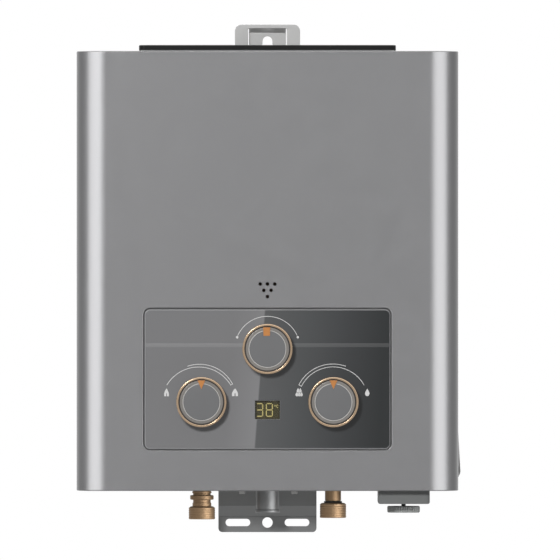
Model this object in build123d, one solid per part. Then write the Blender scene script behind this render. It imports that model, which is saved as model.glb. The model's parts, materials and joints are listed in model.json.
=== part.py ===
from build123d import *
import math
import os

# Wall-hung instantaneous gas water heater, in millimetres.
# The origin is the centre of the upper hanger's keyhole, on the wall plane.
# +X is to the right as seen from the front, +Y points into the wall, +Z is up.

# Casing: a pressed cover over a frame of back, top and bottom plates
case_width = 303.7
case_height = 349.6
case_front = 118.0
case_top_drop = 2.7
case_corner_radius = 24.0
cover_sheet = 0.8
cover_flange = 11.0
cover_rear_step = 0.5
frame_sheet = 1.0
frame_flange = 18.0
frame_lip = 12.0
wall_gap = 6.5
slip = 0.3

# Stiffening beads of the back plate
bead_width = 12.0
bead_length = 250.0
bead_depth = 2.0
bead_inset = 58.0

# Air slots of the bottom plate
vent_count = 5
vent_inset = 48.0
vent_pitch = 14.0
vent_width = 5.0
vent_length = 62.0

# Viewing holes over the flame, three rows that point down
sight_radius = 1.35
sight_sides = 10
sight_pitch = 5.8
sight_row_step = 5.0
sight_drop = 10.4
sight_rows = (3, 2, 1)

# Pressed bulge of the right wall
bulge_height = 40.6
bulge_rise = 10.0
bulge_out = 2.0
bulge_depth = 40.0
bulge_chamfer = 2.0

# Exhaust outlet on the roof
outlet_width = 204.6
outlet_depth = 68.0
outlet_front = 93.0
outlet_lift = 1.1
outlet_height = 3.95
outlet_wall = 1.2
outlet_round = 1.4
outlet_corner = 5.0
slot_width = 6.0
slot_length = 25.0
slot_pitch = 15.2
slot_count = 12
slot_rows = 2
slot_bridge = 6.0

# Upper hanger
hanger_sheet = 1.5
hanger_width = 52.2
hanger_rise = 19.9
hanger_tail = 62.0
hanger_corner = 5.3
tongue_width = 28.8
tongue_top = 16.6
tongue_drop = 22.0
tongue_bend = 3.3
tongue_slit = 1.0
keyhole_radius = 5.7
keyhole_neck_radius = 3.9
keyhole_neck_rise = 6.55

# Lower bracket
bracket_width = 78.6
bracket_reach = 34.3
bracket_overlap = 26.0
bracket_corner = 3.2
bracket_bend_drop = 17.0
bracket_bend = 4.0
bracket_hole_rise = 7.7
bracket_slot_spacing = 47.3
bracket_slot_width = 5.8
bracket_slot_length = 19.7
bracket_hole_radius = 4.15

# Rivets of the hanger and the bracket, and the screws under the cover
fastener_sides = 12
rivet_radius = 4.0
rivet_height = 1.6
hanger_rivet_spacing = 38.0
hanger_rivet_drop = 42.0
bracket_rivet_spacing = 60.0
bracket_rivet_inset = 7.0
screw_radius = 3.2
screw_height = 2.6
cover_screw_spacing = 41.6
cover_screw_inset = 5.5

# Control panel: a glass plate in a pressed recess of the cover
panel_width = 197.4
panel_height = 112.4
panel_corner = 5.5
panel_gap = 1.2
panel_rise = 89.2
panel_recess = 3.6
glass_thickness = 4.0
glass_bevel = 0.8
glass_seat = 7.0
shaft_hole_radius = 4.5
shaft_hole_sides = 16
window_width = 20.0
window_height = 15.0
window_drop = 24.8
window_seat = 1.5
carrier_sheet = 2.5
carrier_margin = 3.0
carrier_rim = 5.0
board_width = 34.0
board_height = 26.0
board_sheet = 1.6
board_post = 4.0
board_post_width = 3.0
post_inset = 2.0

# Knobs: a turned body, a flat cap, a pointer and a spindle each
knob_radius = 20.0
knob_depth = 18.4
knob_gap = 0.6
knob_cap_radius = 14.7
knob_cap_sides = 48
knob_cap_height = 0.6
pointer_outer = 17.3
pointer_inner = 10.0
pointer_width = 6.2
pointer_height = 0.8
spindle_radius = 3.0
spindle_engagement = 10.0
top_knob_rise = 23.7
side_knob_drop = 18.5
side_knob_offset = 52.4
running_fit = 0.05
press_fit = 0.02
socket_fit = 0.2
socket_depth = 8.0

# Water and gas connections under the casing
fitting_depth = 60.0
fitting_offset = 52.3
pipe_hole_sides = 16
thread_radius = 10.4775
hot_neck_radius = 7.1
hot_ring_radius = 9.35
hot_ring_drop = 4.1
hot_ring_height = 3.4
hot_thread_drop = 13.7
hot_thread_length = 9.5
hot_bore_radius = 5.5
hot_outlet_rise = 10.0
cold_neck_radius = 6.4
cold_thread_drop = 10.6
cold_thread_length = 11.5
cold_bore_radius = 4.5
cold_shoulder = 1.2
filter_height = 5.0
filter_wall = 0.8
filter_sides = 12
gas_neck_radius = 9.2
gas_collar_radius = 9.8
gas_collar_height = 2.1
gas_reach = 18.0
gas_bore_radius = 6.5

# Battery box
cell_sides = 16
cell_radius = 16.9
cell_height = 60.0
cell_nub_radius = 4.75
cell_nub_height = 1.5
cell_gap = 9.0
battery_inset = 43.3
battery_width = 41.2
battery_base_drop = 10.6
battery_corner = 3.0
battery_wall = 1.6
battery_clearance = 0.4
battery_lip = 14.0
contact_sheet = 0.5
thumb_radius = 13.0
thumb_height = 5.3
thumb_neck = 2.0
thumb_shank_radius = 1.75
thumb_boss_width = 9.0
thumb_boss_height = 4.0

# Water valve with its diaphragm, over the cold inlet
valve_sides = 8
water_body_radius = 17.0
water_body_length = 26.0
diaphragm_radius = 24.0
diaphragm_sheet = 1.5
valve_flange_radius = 25.0
valve_flange_sheet = 5.0
valve_cup_radius = 21.0
valve_cup_depth = 9.0
valve_cup_wall = 2.5
valve_port_radius = 9.0
valve_outlet_length = 12.0
valve_left = 40.0
water_shaft_front = 95.0

# Gas valve, solenoid, switch and push rod
gas_body_left = 70.0
gas_body_right = 14.0
gas_body_front = 102.0
gas_body_back = 46.0
gas_body_height = 38.0
gas_body_chamfer = 6.0
solenoid_width = 24.0
solenoid_length = 26.0
solenoid_yoke = 2.0
rod_radius = 2.0
rod_tip = 6.0
rod_plate_radius = 12.0
rod_plate_sheet = 1.4
rod_travel = 2.5
switch_width = 6.4
switch_height = 10.0

# Gas manifold and its jets
manifold_height = 16.0
manifold_depth = 14.0
manifold_back = 88.0
riser_radius = 6.0
riser_offset = 30.0
selector_radius = 10.0
selector_length = 6.0
jet_radius = 2.5
jet_length = 4.0
jet_sides = 6
jet_rise = 3.4

# Burner
burner_count = 5
burner_side_gap = 8.0
burner_width = 10.0
burner_top_height = 10.0
burner_web = 3.0
burner_tube_radius = 5.5
burner_tube_bore = 4.3
burner_tube_sides = 10
burner_mouth_gap = 1.5
burner_tube_length = 43.0
flame_slot_width = 1.2
flame_slot_depth = 6.0
flame_slot_count = 7
chamber_width = 176.0
chamber_depth = 80.0
chamber_sheet = 0.8
burner_frame_sheet = 1.0
burner_frame_height = 20.0
burner_lift = 17.4

# Combustion chamber and finned heat exchanger
chamber_height = 88.0
exchanger_height = 42.0
chamber_rib_depth = 1.2
chamber_rib_height = 6.0
chamber_rib_count = 3
tube_radius = 6.5
tube_wall = 0.9
tube_sides = 12
tube_pitch = 22.0
tube_count = 3
fin_count = 6
fin_sheet = 0.8
fin_height = 36.0
header_depth = 9.0
header_chamfer = 4.0
hood_sheet = 0.8
strut_width = 14.0
strut_height = 30.0

# Water pipes
pipe_radius = 6.35
pipe_bend = 15.0
pipe_lane_gap = 32.0
hot_pipe_rise = 27.0

# Ignition, flame sensing and overheat protection
module_height = 80.0
module_depth = 34.0
module_gap = 10.0
module_side_gap = 4.9
module_chamfer = 3.0
electrode_sides = 8
electrode_radius = 1.5
electrode_ceramic_radius = 3.5
electrode_ceramic_length = 16.0
electrode_reach = 22.0
electrode_offset = 30.0
electrode_rise = 14.0
thermostat_radius = 9.0
thermostat_height = 6.0

# Planes and centres that follow from the sizes above
front = -case_front
back = -wall_gap
back_inner = back - frame_sheet
top = -case_top_drop
bottom = top - case_height
roof_top = top - cover_sheet
roof_low = roof_top - frame_sheet
floor_low = bottom + cover_sheet
floor_top = floor_low + frame_sheet
mid = (top + bottom) / 2
inner_half = case_width / 2 - cover_sheet - slip
bead_offset = case_width / 2 - bead_inset
vent_offset = case_width / 2 - vent_inset
battery_offset = case_width / 2 - battery_inset
pipe_lane = chamber_width / 2 + pipe_lane_gap
burner_pitch = (chamber_width - 2 * burner_side_gap) / burner_count
panel_z = bottom + panel_rise
glass_front = front + panel_recess - glass_thickness
recess_back = front + panel_recess + cover_sheet
top_knob_z = panel_z + top_knob_rise
valve_z = panel_z - side_knob_drop
window_z = panel_z - window_drop
fitting_y = -fitting_depth
outlet_y = -outlet_front + outlet_depth / 2
outlet_low = top + outlet_lift
outlet_top = outlet_low + outlet_height
burner_top = top_knob_z + burner_lift + burner_frame_height
chamber_top = burner_top + chamber_height + exchanger_height
tube_z = chamber_top - exchanger_height / 2
jet_z = top_knob_z + jet_rise
hot_outlet_top = floor_top + hot_outlet_rise
manifold_front = -manifold_back - manifold_depth
gas_body_low = valve_z - gas_body_height / 2
gas_body_high = valve_z + gas_body_height / 2


def block(x_low, x_high, y_low, y_high, z_low, z_high):
    """A box between two corners."""
    size = (x_high - x_low, y_high - y_low, z_high - z_low)
    return Pos(x_low, y_low, z_low) * Box(*size, align=(Align.MIN, Align.MIN, Align.MIN))


def rod(radius, start, end):
    """A round bar from one point to another."""
    axis = Vector(*end) - Vector(*start)
    return extrude(Plane(origin=start, z_dir=axis) * Circle(radius), axis.length)


def flat_rod(sides, radius, start, end):
    """A bar with flat sides from one point to another, its flats at the radius."""
    axis = Vector(*end) - Vector(*start)
    section = RegularPolygon(radius, sides, major_radius=False, rotation=180 / sides)
    return extrude(Plane(origin=start, z_dir=axis) * section, axis.length)


def square_bar(width, start, end):
    """A square bar from one point to another."""
    return flat_rod(4, width / 2, start, end)


def turned(outline, start, direction):
    """A turned piece: its outline lists (radius, distance along the axis) points."""
    face = make_face(Plane.XZ * Polyline(*outline, close=True))
    return Plane(origin=start, z_dir=direction) * revolve(face, Axis.Z)


def slab(sketch, y_front, y_rear):
    """A sketch in X and Z, made solid between two depths."""
    plane = Plane(origin=(0, y_rear, 0), x_dir=(1, 0, 0), z_dir=(0, -1, 0))
    return extrude(plane * sketch, y_rear - y_front)


def column(sketch, z_low, z_high):
    """A sketch in X and Y, made solid between two heights."""
    return extrude(Pos(0, 0, z_low) * sketch, z_high - z_low)


def grid(centre, steps, counts, shape):
    """Copies of a sketch on a grid round a centre."""
    places = GridLocations(*steps, *counts)
    return Sketch() + [Pos(*centre) * place * shape for place in places]


def side_slab(outline, x_low, x_high):
    """An outline of (y, z) points, made solid between two widths."""
    plane = Plane(origin=(x_low, 0, 0), x_dir=(0, 1, 0), z_dir=(1, 0, 0))
    return extrude(plane * make_face(Polyline(*outline, close=True)), x_high - x_low)


def casing_plan(inset, rear):
    """The casing seen from above, inset from its outside and rounded at the front corners."""
    half = case_width / 2 - inset
    y_front = front + inset
    plan = Pos(0, y_front) * Rectangle(2 * half, rear - y_front, align=(Align.CENTER, Align.MIN))
    radius = max(case_corner_radius - inset, cover_sheet)
    return fillet(plan.vertices().sort_by(Axis.Y)[:2], radius)


def joggled_strip(width, z_high, z_low, bend_start, bend_height):
    """A strip whose upper part lies on the back plate and whose foot is set back to the wall."""
    sheet = hanger_sheet
    outline = [
        (back, z_high),
        (back + sheet, z_high),
        (back + sheet, bend_start),
        (0, bend_start - bend_height),
        (0, z_low),
        (-sheet, z_low),
        (-sheet, bend_start - bend_height),
        (back, bend_start),
    ]
    return side_slab(outline, -width / 2, width / 2)


def rivet_points():
    """Where rivets hold the upper hanger and the lower bracket to the back plate."""
    y = back + hanger_sheet
    points = []
    for side in (-1, 1):
        points.append((side * hanger_rivet_spacing / 2, y, -hanger_rivet_drop))
        points.append((side * bracket_rivet_spacing / 2, y, bottom + bracket_overlap - bracket_rivet_inset))
    return points


def cover_screw_points():
    """Where the screws under the casing hold the cover to the bottom plate."""
    y = front + cover_screw_inset
    return [(side * cover_screw_spacing / 2, y, bottom) for side in (-1, 1)]


def make_front_cover():
    """Pressed cover: front and side walls with narrow flanges, open at the back."""
    rear = back_inner + cover_rear_step
    cover = column(casing_plan(0, rear), bottom, top)
    cover -= column(casing_plan(cover_sheet, rear + 1), floor_low, roof_top)
    cover -= column(casing_plan(cover_flange, rear + 1), bottom - 1, top + 1)
    pan = Pos(0, panel_z) * RectangleRounded(
        panel_width + 2 * cover_sheet, panel_height + 2 * cover_sheet, panel_corner + cover_sheet
    )
    cover += slab(pan, front, recess_back)
    recess = Pos(0, panel_z) * RectangleRounded(panel_width, panel_height, panel_corner)
    cover -= slab(recess, front - 1, front + panel_recess)
    seat = Pos(0, panel_z) * Rectangle(panel_width - 2 * glass_seat, panel_height - 2 * glass_seat)
    cover -= slab(seat, front, recess_back + 1)
    for row, count in enumerate(sight_rows):
        z = mid - sight_drop - row * sight_row_step
        for i in range(count):
            x = (i - (count - 1) / 2) * sight_pitch
            cover -= flat_rod(sight_sides, sight_radius, (x, front - 1, z), (x, front + cover_sheet + 1, z))
    cover += bulge(0)
    return cover - bulge(cover_sheet)


def bulge(inset):
    """The bulge pressed out of the right wall, or its inside where inset by the sheet."""
    wall = case_width / 2
    low = bottom + bulge_rise
    high = low + bulge_height
    outer = wall + bulge_out - inset
    inner = wall - cover_sheet - inset
    outline = Polyline(
        (inner, low + inset),
        (wall - inset, low + inset),
        (outer, low + bulge_chamfer + inset),
        (wall - inset, high - inset),
        (inner, high - inset),
        close=True,
    )
    half = bulge_depth / 2 - inset
    return slab(make_face(outline), fitting_y - half, fitting_y + half)


def make_back_plate():
    """Back of the frame, with side flanges inside the cover and two stiffening beads."""
    plate = block(-inner_half, inner_half, back_inner, back, floor_low, roof_top)
    low = floor_top + slip
    high = roof_low - slip
    crown = back + bead_depth
    for side in (-1, 1):
        edge = side * inner_half
        inside = side * (inner_half - frame_sheet)
        x_low = min(edge, inside)
        x_high = max(edge, inside)
        plate += block(x_low, x_high, back_inner - frame_flange, back_inner, low, high)
        plate += slab(bead_plan(side * bead_offset, 0), back, crown)
        plate -= slab(bead_plan(side * bead_offset, frame_sheet), back_inner - 1, crown - frame_sheet)
    return plate


def bead_plan(x, inset):
    """Outline of an upright stiffening bead with cut corners."""
    plan = Rectangle(bead_width - 2 * inset, bead_length - 2 * inset)
    return Pos(x, mid) * chamfer(plan.vertices(), (bead_width - 2 * inset) / 3)


def make_top_plate():
    """Roof of the frame, under the cover's flange, open under the exhaust outlet."""
    plate = column(casing_plan(cover_sheet + slip, back_inner), roof_low, roof_top)
    lip_half = inner_half - frame_sheet - slip
    plate += block(-lip_half, lip_half, back_inner - frame_sheet, back_inner, roof_low - frame_lip, roof_low)
    mouth = Pos(0, outlet_y) * Rectangle(*hood_mouth(hood_sheet))
    return plate - column(mouth, roof_low - 1, roof_top + 1)


def make_bottom_plate():
    """Floor of the frame, with the holes of the pipes, the battery box and the air slots."""
    plate = column(casing_plan(cover_sheet + slip, back_inner), floor_low, floor_top)
    lip_half = inner_half - frame_sheet - slip
    plate += block(-lip_half, lip_half, back_inner - frame_sheet, back_inner, floor_top, floor_top + frame_lip)
    holes = [(-fitting_offset, hot_neck_radius), (fitting_offset, cold_neck_radius), (0, gas_neck_radius)]
    for x, radius in holes:
        low = (x, fitting_y, floor_low - 1)
        high = (x, fitting_y, floor_top + 1)
        plate -= flat_rod(pipe_hole_sides, radius + slip, low, high)
    tray_hole = Pos(battery_offset, fitting_y) * tray_plan(-battery_clearance)
    plate -= column(tray_hole, floor_low - 1, floor_top + 1)
    vent = Rectangle(vent_width, vent_length)
    vents = grid((-vent_offset, fitting_y), (vent_pitch, 1), (vent_count, 1), vent)
    return plate - column(vents, floor_low - 1, floor_top + 1)


def hood_mouth(inset):
    """Width and depth of the flue opening in the roof, inset inside the outlet's collar."""
    margin = 2 * (outlet_wall + slip + cover_sheet + inset)
    return (outlet_width - margin, outlet_depth - margin)


def make_outlet_collar():
    """Sheet collar that stands on the roof and carries the outlet's cap."""
    width, depth = hood_mouth(-cover_sheet)
    inner_width, inner_depth = hood_mouth(0)
    collar = Pos(0, outlet_y) * (Rectangle(width, depth) - Rectangle(inner_width, inner_depth))
    return column(collar, roof_top, outlet_top - outlet_wall)


def make_exhaust_grille():
    """Slotted cap over the exhaust collar."""
    plan = Pos(0, outlet_y) * RectangleRounded(outlet_width, outlet_depth, outlet_corner)
    cap = column(plan, outlet_low, outlet_top)
    cap = chamfer(cap.faces().sort_by(Axis.Z)[-1].edges(), outlet_round)
    width, depth = hood_mouth(-cover_sheet - slip)
    cap -= column(Pos(0, outlet_y) * Rectangle(width, depth), outlet_low - 1, outlet_top - outlet_wall)
    steps = (slot_pitch, slot_length + slot_bridge)
    slots = grid((0, outlet_y), steps, (slot_count, slot_rows), Rectangle(slot_width, slot_length))
    return cap - column(slots, outlet_top - outlet_wall - 1, outlet_top + 1)


def make_upper_hanger():
    """Hanger plate on the back plate, whose tongue with the keyhole is pressed back to the wall."""
    plate = Pos(0, (hanger_rise - hanger_tail) / 2) * RectangleRounded(
        hanger_width, hanger_rise + hanger_tail, hanger_corner
    )
    hanger = slab(plate, back, back + hanger_sheet)
    slit_half = tongue_width / 2 + tongue_slit
    window = Pos(0, (tongue_top - tongue_drop) / 2) * Rectangle(2 * slit_half, tongue_top + tongue_drop)
    hanger -= slab(window, back - 1, 0)
    sheet = hanger_sheet
    rise = tongue_top - tongue_bend
    drop = -tongue_drop + tongue_bend
    outline = [
        (back, tongue_top),
        (back + sheet, tongue_top),
        (0, rise),
        (0, drop),
        (back + sheet, -tongue_drop),
        (back, -tongue_drop),
        (-sheet, drop),
        (-sheet, rise),
    ]
    tongue = side_slab(outline, -tongue_width / 2, tongue_width / 2)
    neck = SlotCenterToCenter(2 * keyhole_neck_rise, 2 * keyhole_neck_radius, rotation=90)
    tongue -= slab(Circle(keyhole_radius), -sheet - 1, 1)
    tongue -= slab(neck & (Pos(0, hanger_rise / 2) * Rectangle(hanger_width, hanger_rise)), -sheet - 1, 1)
    return hanger + tongue


def make_lower_bracket():
    """Bracket behind the casing's lower edge, joggled back to the wall, with two slots and a hole."""
    foot = bottom - bracket_reach
    bend = bottom - bracket_bend_drop
    bracket = joggled_strip(bracket_width, bottom + bracket_overlap, foot, bend, bracket_bend)
    corners = bracket.edges().filter_by(Axis.Y).group_by(Axis.Z)[0]
    bracket = fillet(corners, bracket_corner)
    z = foot + bracket_hole_rise
    for side in (-1, 1):
        slot = Pos(side * bracket_slot_spacing / 2, z) * SlotOverall(bracket_slot_length, bracket_slot_width)
        bracket -= slab(slot, -hanger_sheet - 1, 1)
    return bracket - rod(bracket_hole_radius, (0, -hanger_sheet - 1, z), (0, 1, z))


def make_bracket_rivets():
    """Rivet heads behind the hanger and the bracket."""
    heads = []
    for x, y, z in rivet_points():
        heads.append(flat_rod(fastener_sides, rivet_radius, (x, y, z), (x, y + rivet_height, z)))
    return Compound(heads)


def make_cover_screws():
    """Screw heads under the cover's front edge."""
    heads = []
    for x, y, z in cover_screw_points():
        heads.append(flat_rod(fastener_sides, screw_radius, (x, y, z - screw_height), (x, y, z)))
    return Compound(heads)


def knob_places():
    """Each knob's x and z, and the depth to which its spindle reaches."""
    return [
        (0, top_knob_z, manifold_front - selector_length),
        (-side_knob_offset, valve_z, -gas_body_front),
        (side_knob_offset, valve_z, -water_shaft_front),
    ]


def make_panel_glass():
    """Bevelled glass plate in the cover's recess, with holes for the spindles and the display."""
    width = panel_width - 2 * panel_gap
    height = panel_height - 2 * panel_gap
    plan = Pos(0, panel_z) * RectangleRounded(width, height, panel_corner - panel_gap)
    glass = slab(plan, glass_front, front + panel_recess)
    glass = chamfer(glass.faces().sort_by(Axis.Y)[0].edges(), glass_bevel)
    for x, z, _ in knob_places():
        hole_back = (x, front + panel_recess + 1, z)
        glass -= flat_rod(shaft_hole_sides, shaft_hole_radius, (x, glass_front - 1, z), hole_back)
    opening = Pos(0, window_z) * Rectangle(window_width, window_height)
    return glass - slab(opening, glass_front - 1, front + panel_recess + 1)


def make_display_window():
    """Tinted window in the glass, flush with its face."""
    plan = Pos(0, window_z) * Rectangle(window_width - 2 * press_fit, window_height - 2 * press_fit)
    return slab(plan, glass_front, glass_front + window_seat)


def make_display_module():
    """Number display between the window and its circuit board."""
    plan = Pos(0, window_z) * Rectangle(window_width - 2 * slip, window_height - 2 * slip)
    return slab(plan, glass_front + window_seat, board_front())


def board_front():
    """Front face of the display's circuit board, on the carrier's posts."""
    return recess_back + carrier_sheet + board_post


def make_display_board():
    """Circuit board behind the display."""
    plan = Pos(0, window_z) * Rectangle(board_width, board_height)
    return slab(plan, board_front(), board_front() + board_sheet)


def make_panel_carrier():
    """Moulded carrier behind the recess: a rimmed plate with the spindles' bearings and the board's posts."""
    y = recess_back
    width = panel_width - 2 * carrier_margin
    height = panel_height - 2 * carrier_margin
    carrier = slab(Pos(0, panel_z) * Rectangle(width, height), y, y + carrier_rim)
    hollow = Pos(0, panel_z) * Rectangle(width - 2 * carrier_sheet, height - 2 * carrier_sheet)
    carrier -= slab(hollow, y + carrier_sheet, y + carrier_rim + 1)
    for x, z, _ in knob_places():
        bearing = spindle_radius + running_fit
        carrier -= flat_rod(shaft_hole_sides, bearing, (x, y - 1, z), (x, y + carrier_sheet + 1, z))
    opening = Pos(0, window_z) * Rectangle(window_width, window_height)
    carrier -= slab(opening, y - 1, y + carrier_sheet + 1)
    steps = (board_width - 2 * post_inset, board_height - 2 * post_inset)
    posts = grid((0, window_z), steps, (2, 2), Rectangle(board_post_width, board_post_width))
    return carrier + slab(posts, y + carrier_sheet, board_front())


def make_knob(x, z, valve_face):
    """Knob body, and the spindle that reaches from its blind bore into the socket of its valve."""
    seat = glass_front - knob_gap
    bore_end = seat - spindle_engagement
    body = rod(knob_radius, (x, seat, z), (x, seat - knob_depth, z))
    body -= square_bar(2 * (spindle_radius + press_fit), (x, seat + 1, z), (x, bore_end, z))
    spindle = rod(spindle_radius, (x, bore_end, z), (x, valve_face + socket_depth - 1, z))
    return Compound([body, spindle])


def pointer_plan(x, z, clearance):
    """The pointer's triangle, wide at the knob's rim and pointing at its centre."""
    half = pointer_width / 2 + clearance
    outer = z + pointer_outer + clearance
    inner = z + pointer_inner - clearance
    return make_face(Polyline((x - half, outer), (x + half, outer), (x, inner), close=True))


def make_knob_cap(x, z):
    """Flat cap on the knob's face, notched for the pointer."""
    face = glass_front - knob_gap - knob_depth
    cap = flat_rod(knob_cap_sides, knob_cap_radius, (x, face, z), (x, face - knob_cap_height, z))
    return cap - slab(pointer_plan(x, z, press_fit), face - knob_cap_height - 1, face + 1)


def make_knob_pointer(x, z):
    """Coloured pointer on the knob's face."""
    face = glass_front - knob_gap - knob_depth
    return slab(pointer_plan(x, z, 0), face - pointer_height, face)


def socket(x, z, valve_face):
    """Square socket of a spindle in the face of its valve."""
    width = 2 * (spindle_radius + socket_fit)
    return square_bar(width, (x, valve_face - 1, z), (x, valve_face + socket_depth, z))


def hot_outlet_end():
    """Turned end of the hot outlet, with a ring and a thread."""
    ring_high = bottom - hot_ring_drop
    thread_high = bottom - hot_thread_drop
    outline = [
        (hot_bore_radius, hot_outlet_top),
        (hot_neck_radius, hot_outlet_top),
        (hot_neck_radius, ring_high),
        (hot_ring_radius, ring_high),
        (hot_ring_radius, ring_high - hot_ring_height),
        (hot_neck_radius, ring_high - hot_ring_height),
        (hot_neck_radius, thread_high),
        (thread_radius, thread_high),
        (thread_radius, thread_high - hot_thread_length),
        (hot_bore_radius, thread_high - hot_thread_length),
    ]
    return turned(outline, (-fitting_offset, fitting_y, 0), (0, 0, 1))


def make_cold_inlet():
    """Turned brass inlet under the water valve, with a shoulder above its threaded end."""
    inlet_top = valve_z - water_body_radius
    thread_high = bottom - cold_thread_drop
    outline = [
        (cold_bore_radius, inlet_top),
        (cold_neck_radius, inlet_top),
        (cold_neck_radius, thread_high + cold_shoulder),
        (thread_radius, thread_high),
        (thread_radius, thread_high - cold_thread_length),
        (cold_bore_radius, thread_high - cold_thread_length),
    ]
    return turned(outline, (fitting_offset, fitting_y, 0), (0, 0, 1))


def make_inlet_filter():
    """Cup-shaped strainer in the mouth of the cold inlet."""
    low = bottom - cold_thread_drop - cold_thread_length
    high = low + filter_height
    corner = math.cos(math.pi / filter_sides)
    outer = (cold_bore_radius - press_fit) * corner
    place = (fitting_offset, fitting_y)
    cup = flat_rod(filter_sides, outer, (*place, low), (*place, high))
    return cup - flat_rod(filter_sides, outer - filter_wall, (*place, low - 1), (*place, high - filter_wall))


def make_gas_inlet():
    """Gas stub under the gas valve, with a collar at its end."""
    low = bottom - gas_reach
    outline = [
        (gas_bore_radius, gas_body_low),
        (gas_neck_radius, gas_body_low),
        (gas_neck_radius, low + gas_collar_height),
        (gas_collar_radius, low + gas_collar_height),
        (gas_collar_radius, low),
        (gas_bore_radius, low),
    ]
    return turned(outline, (0, fitting_y, 0), (0, 0, 1))


def battery_depth():
    """Depth of the battery box's base."""
    return 4 * cell_radius + cell_gap + 2 * (battery_wall + battery_clearance)


def tray_plan(inset):
    """The drawer's tray seen from above, inset from its outside."""
    width = battery_width - 2 * battery_wall - 2 * inset
    depth = battery_depth() - 2 * inset
    return Rectangle(width, depth)


battery_base_low = bottom - battery_base_drop
cell_low = battery_base_low + battery_wall
cell_high = cell_low + cell_height
ceiling_low = cell_high + cell_nub_height + contact_sheet + slip


def make_battery_housing():
    """Fixed housing over the bottom plate, open below, with the boss of the thumb screw."""
    centre = Pos(battery_offset, fitting_y)
    outer = centre * tray_plan(-battery_clearance - battery_wall)
    inner = centre * tray_plan(-battery_clearance)
    roof = ceiling_low + battery_wall
    housing = column(outer, floor_top, roof)
    housing -= column(inner, floor_top - 1, ceiling_low)
    place = (battery_offset, fitting_y)
    housing += square_bar(thumb_boss_width, (*place, roof), (*place, roof + thumb_boss_height))
    return housing - thumb_hole(ceiling_low - 1, roof + thumb_boss_height + 1)


def thumb_hole(z_low, z_high):
    """Square passage of the thumb screw's shank."""
    place = (battery_offset, fitting_y)
    return square_bar(2 * (thumb_shank_radius + running_fit), (*place, z_low), (*place, z_high))


def make_battery_contacts():
    """Two contact strips under the housing's ceiling, over the cells."""
    strips = []
    for side in (-1, 1):
        y = fitting_y + side * (cell_radius + cell_gap / 2)
        plan = Pos(battery_offset, y) * Rectangle(3 * cell_nub_radius, 3 * cell_nub_radius)
        strips.append(column(plan, ceiling_low - contact_sheet, ceiling_low))
    return Compound(strips)


def make_battery_drawer():
    """Drawer: a rounded base below the casing and a tray that holds the two cells."""
    centre = Pos(battery_offset, fitting_y)
    base = centre * RectangleRounded(battery_width, battery_depth() + 2 * battery_wall, battery_corner)
    drawer = column(base, battery_base_low, floor_low - slip)
    drawer += column(centre * tray_plan(0), floor_low - slip, cell_low + cell_height / 2)
    drawer -= column(centre * tray_plan(battery_wall), cell_low, cell_high)
    side_width = battery_width + 2 * battery_wall
    side_depth = battery_depth() - 2 * battery_lip
    drawer -= column(centre * Rectangle(side_width, side_depth), floor_top + battery_wall, cell_high)
    return drawer - thumb_hole(battery_base_low - 1, cell_low + 1)


def make_battery_cells():
    """Two round cells, upright, one behind the other."""
    cells = []
    for side in (-1, 1):
        y = fitting_y + side * (cell_radius + cell_gap / 2)
        place = (battery_offset, y)
        cell = flat_rod(cell_sides, cell_radius, (*place, cell_low), (*place, cell_high))
        nub_high = cell_high + cell_nub_height
        cells.append(cell + flat_rod(cell_sides, cell_nub_radius, (*place, cell_high), (*place, nub_high)))
    return Compound(cells)


def make_thumb_screw():
    """Thumb disc under the drawer with its long captive shank."""
    neck_low = battery_base_low - thumb_neck
    boss_top = ceiling_low + battery_wall + thumb_boss_height
    centre_line = (battery_offset, fitting_y)
    disc = rod(thumb_radius, (*centre_line, neck_low - thumb_height), (*centre_line, neck_low))
    return disc + rod(thumb_shank_radius, (*centre_line, neck_low), (*centre_line, boss_top - 1))


valve_flange_right = valve_left + valve_flange_sheet
water_body_right = valve_flange_right + water_body_length
diaphragm_left = valve_left - diaphragm_sheet
cup_flange_left = diaphragm_left - valve_flange_sheet
cup_left = diaphragm_left - valve_cup_depth - valve_cup_wall


def on_rod_axis(x):
    """A point on the axis that the water valve, the push rod and the gas valve share."""
    return (x, fitting_y, valve_z)


def make_water_valve_body():
    """Water valve over the cold inlet, with its outlet, diaphragm flange and spindle boss."""
    port_end = water_body_right + valve_outlet_length
    body = valve_bar(water_body_radius, valve_flange_right, water_body_right)
    body += valve_bar(valve_flange_radius, valve_left, valve_flange_right)
    body += valve_bar(valve_port_radius, water_body_right, port_end)
    x = side_knob_offset
    body += square_bar(4 * spindle_radius, (x, -water_shaft_front, valve_z), (x, fitting_y, valve_z))
    return body - socket(x, valve_z, -water_shaft_front)


def valve_bar(radius, x_low, x_high):
    """An eight-sided length of the valve on the shared axis."""
    return flat_rod(valve_sides, radius, on_rod_axis(x_low), on_rod_axis(x_high))


def make_diaphragm():
    """Rubber diaphragm clamped between the valve body and its cover."""
    return valve_bar(diaphragm_radius, diaphragm_left, valve_left)


def make_water_valve_cover():
    """Cup that closes the diaphragm chamber and guides the push rod."""
    cover = valve_bar(valve_flange_radius, cup_flange_left, diaphragm_left)
    cover += valve_bar(valve_cup_radius, cup_left, cup_flange_left)
    inner = valve_cup_radius - valve_cup_wall
    cover -= valve_bar(inner, cup_left + valve_cup_wall, diaphragm_left + 1)
    return cover - rod_hole(cup_left - 1, cup_left + valve_cup_wall + 1)


def rod_hole(x_low, x_high):
    """Square guide of the push rod."""
    return square_bar(2 * (rod_radius + running_fit), on_rod_axis(x_low), on_rod_axis(x_high))


def make_push_rod():
    """Push rod from the diaphragm to the gas valve, with its thrust plate."""
    plate_right = diaphragm_left - running_fit
    plate_left = plate_right - rod_plate_sheet
    return valve_bar(rod_plate_radius, plate_left, plate_right) + rod(
        rod_radius, on_rod_axis(rod_tip), on_rod_axis(plate_left)
    )


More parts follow.
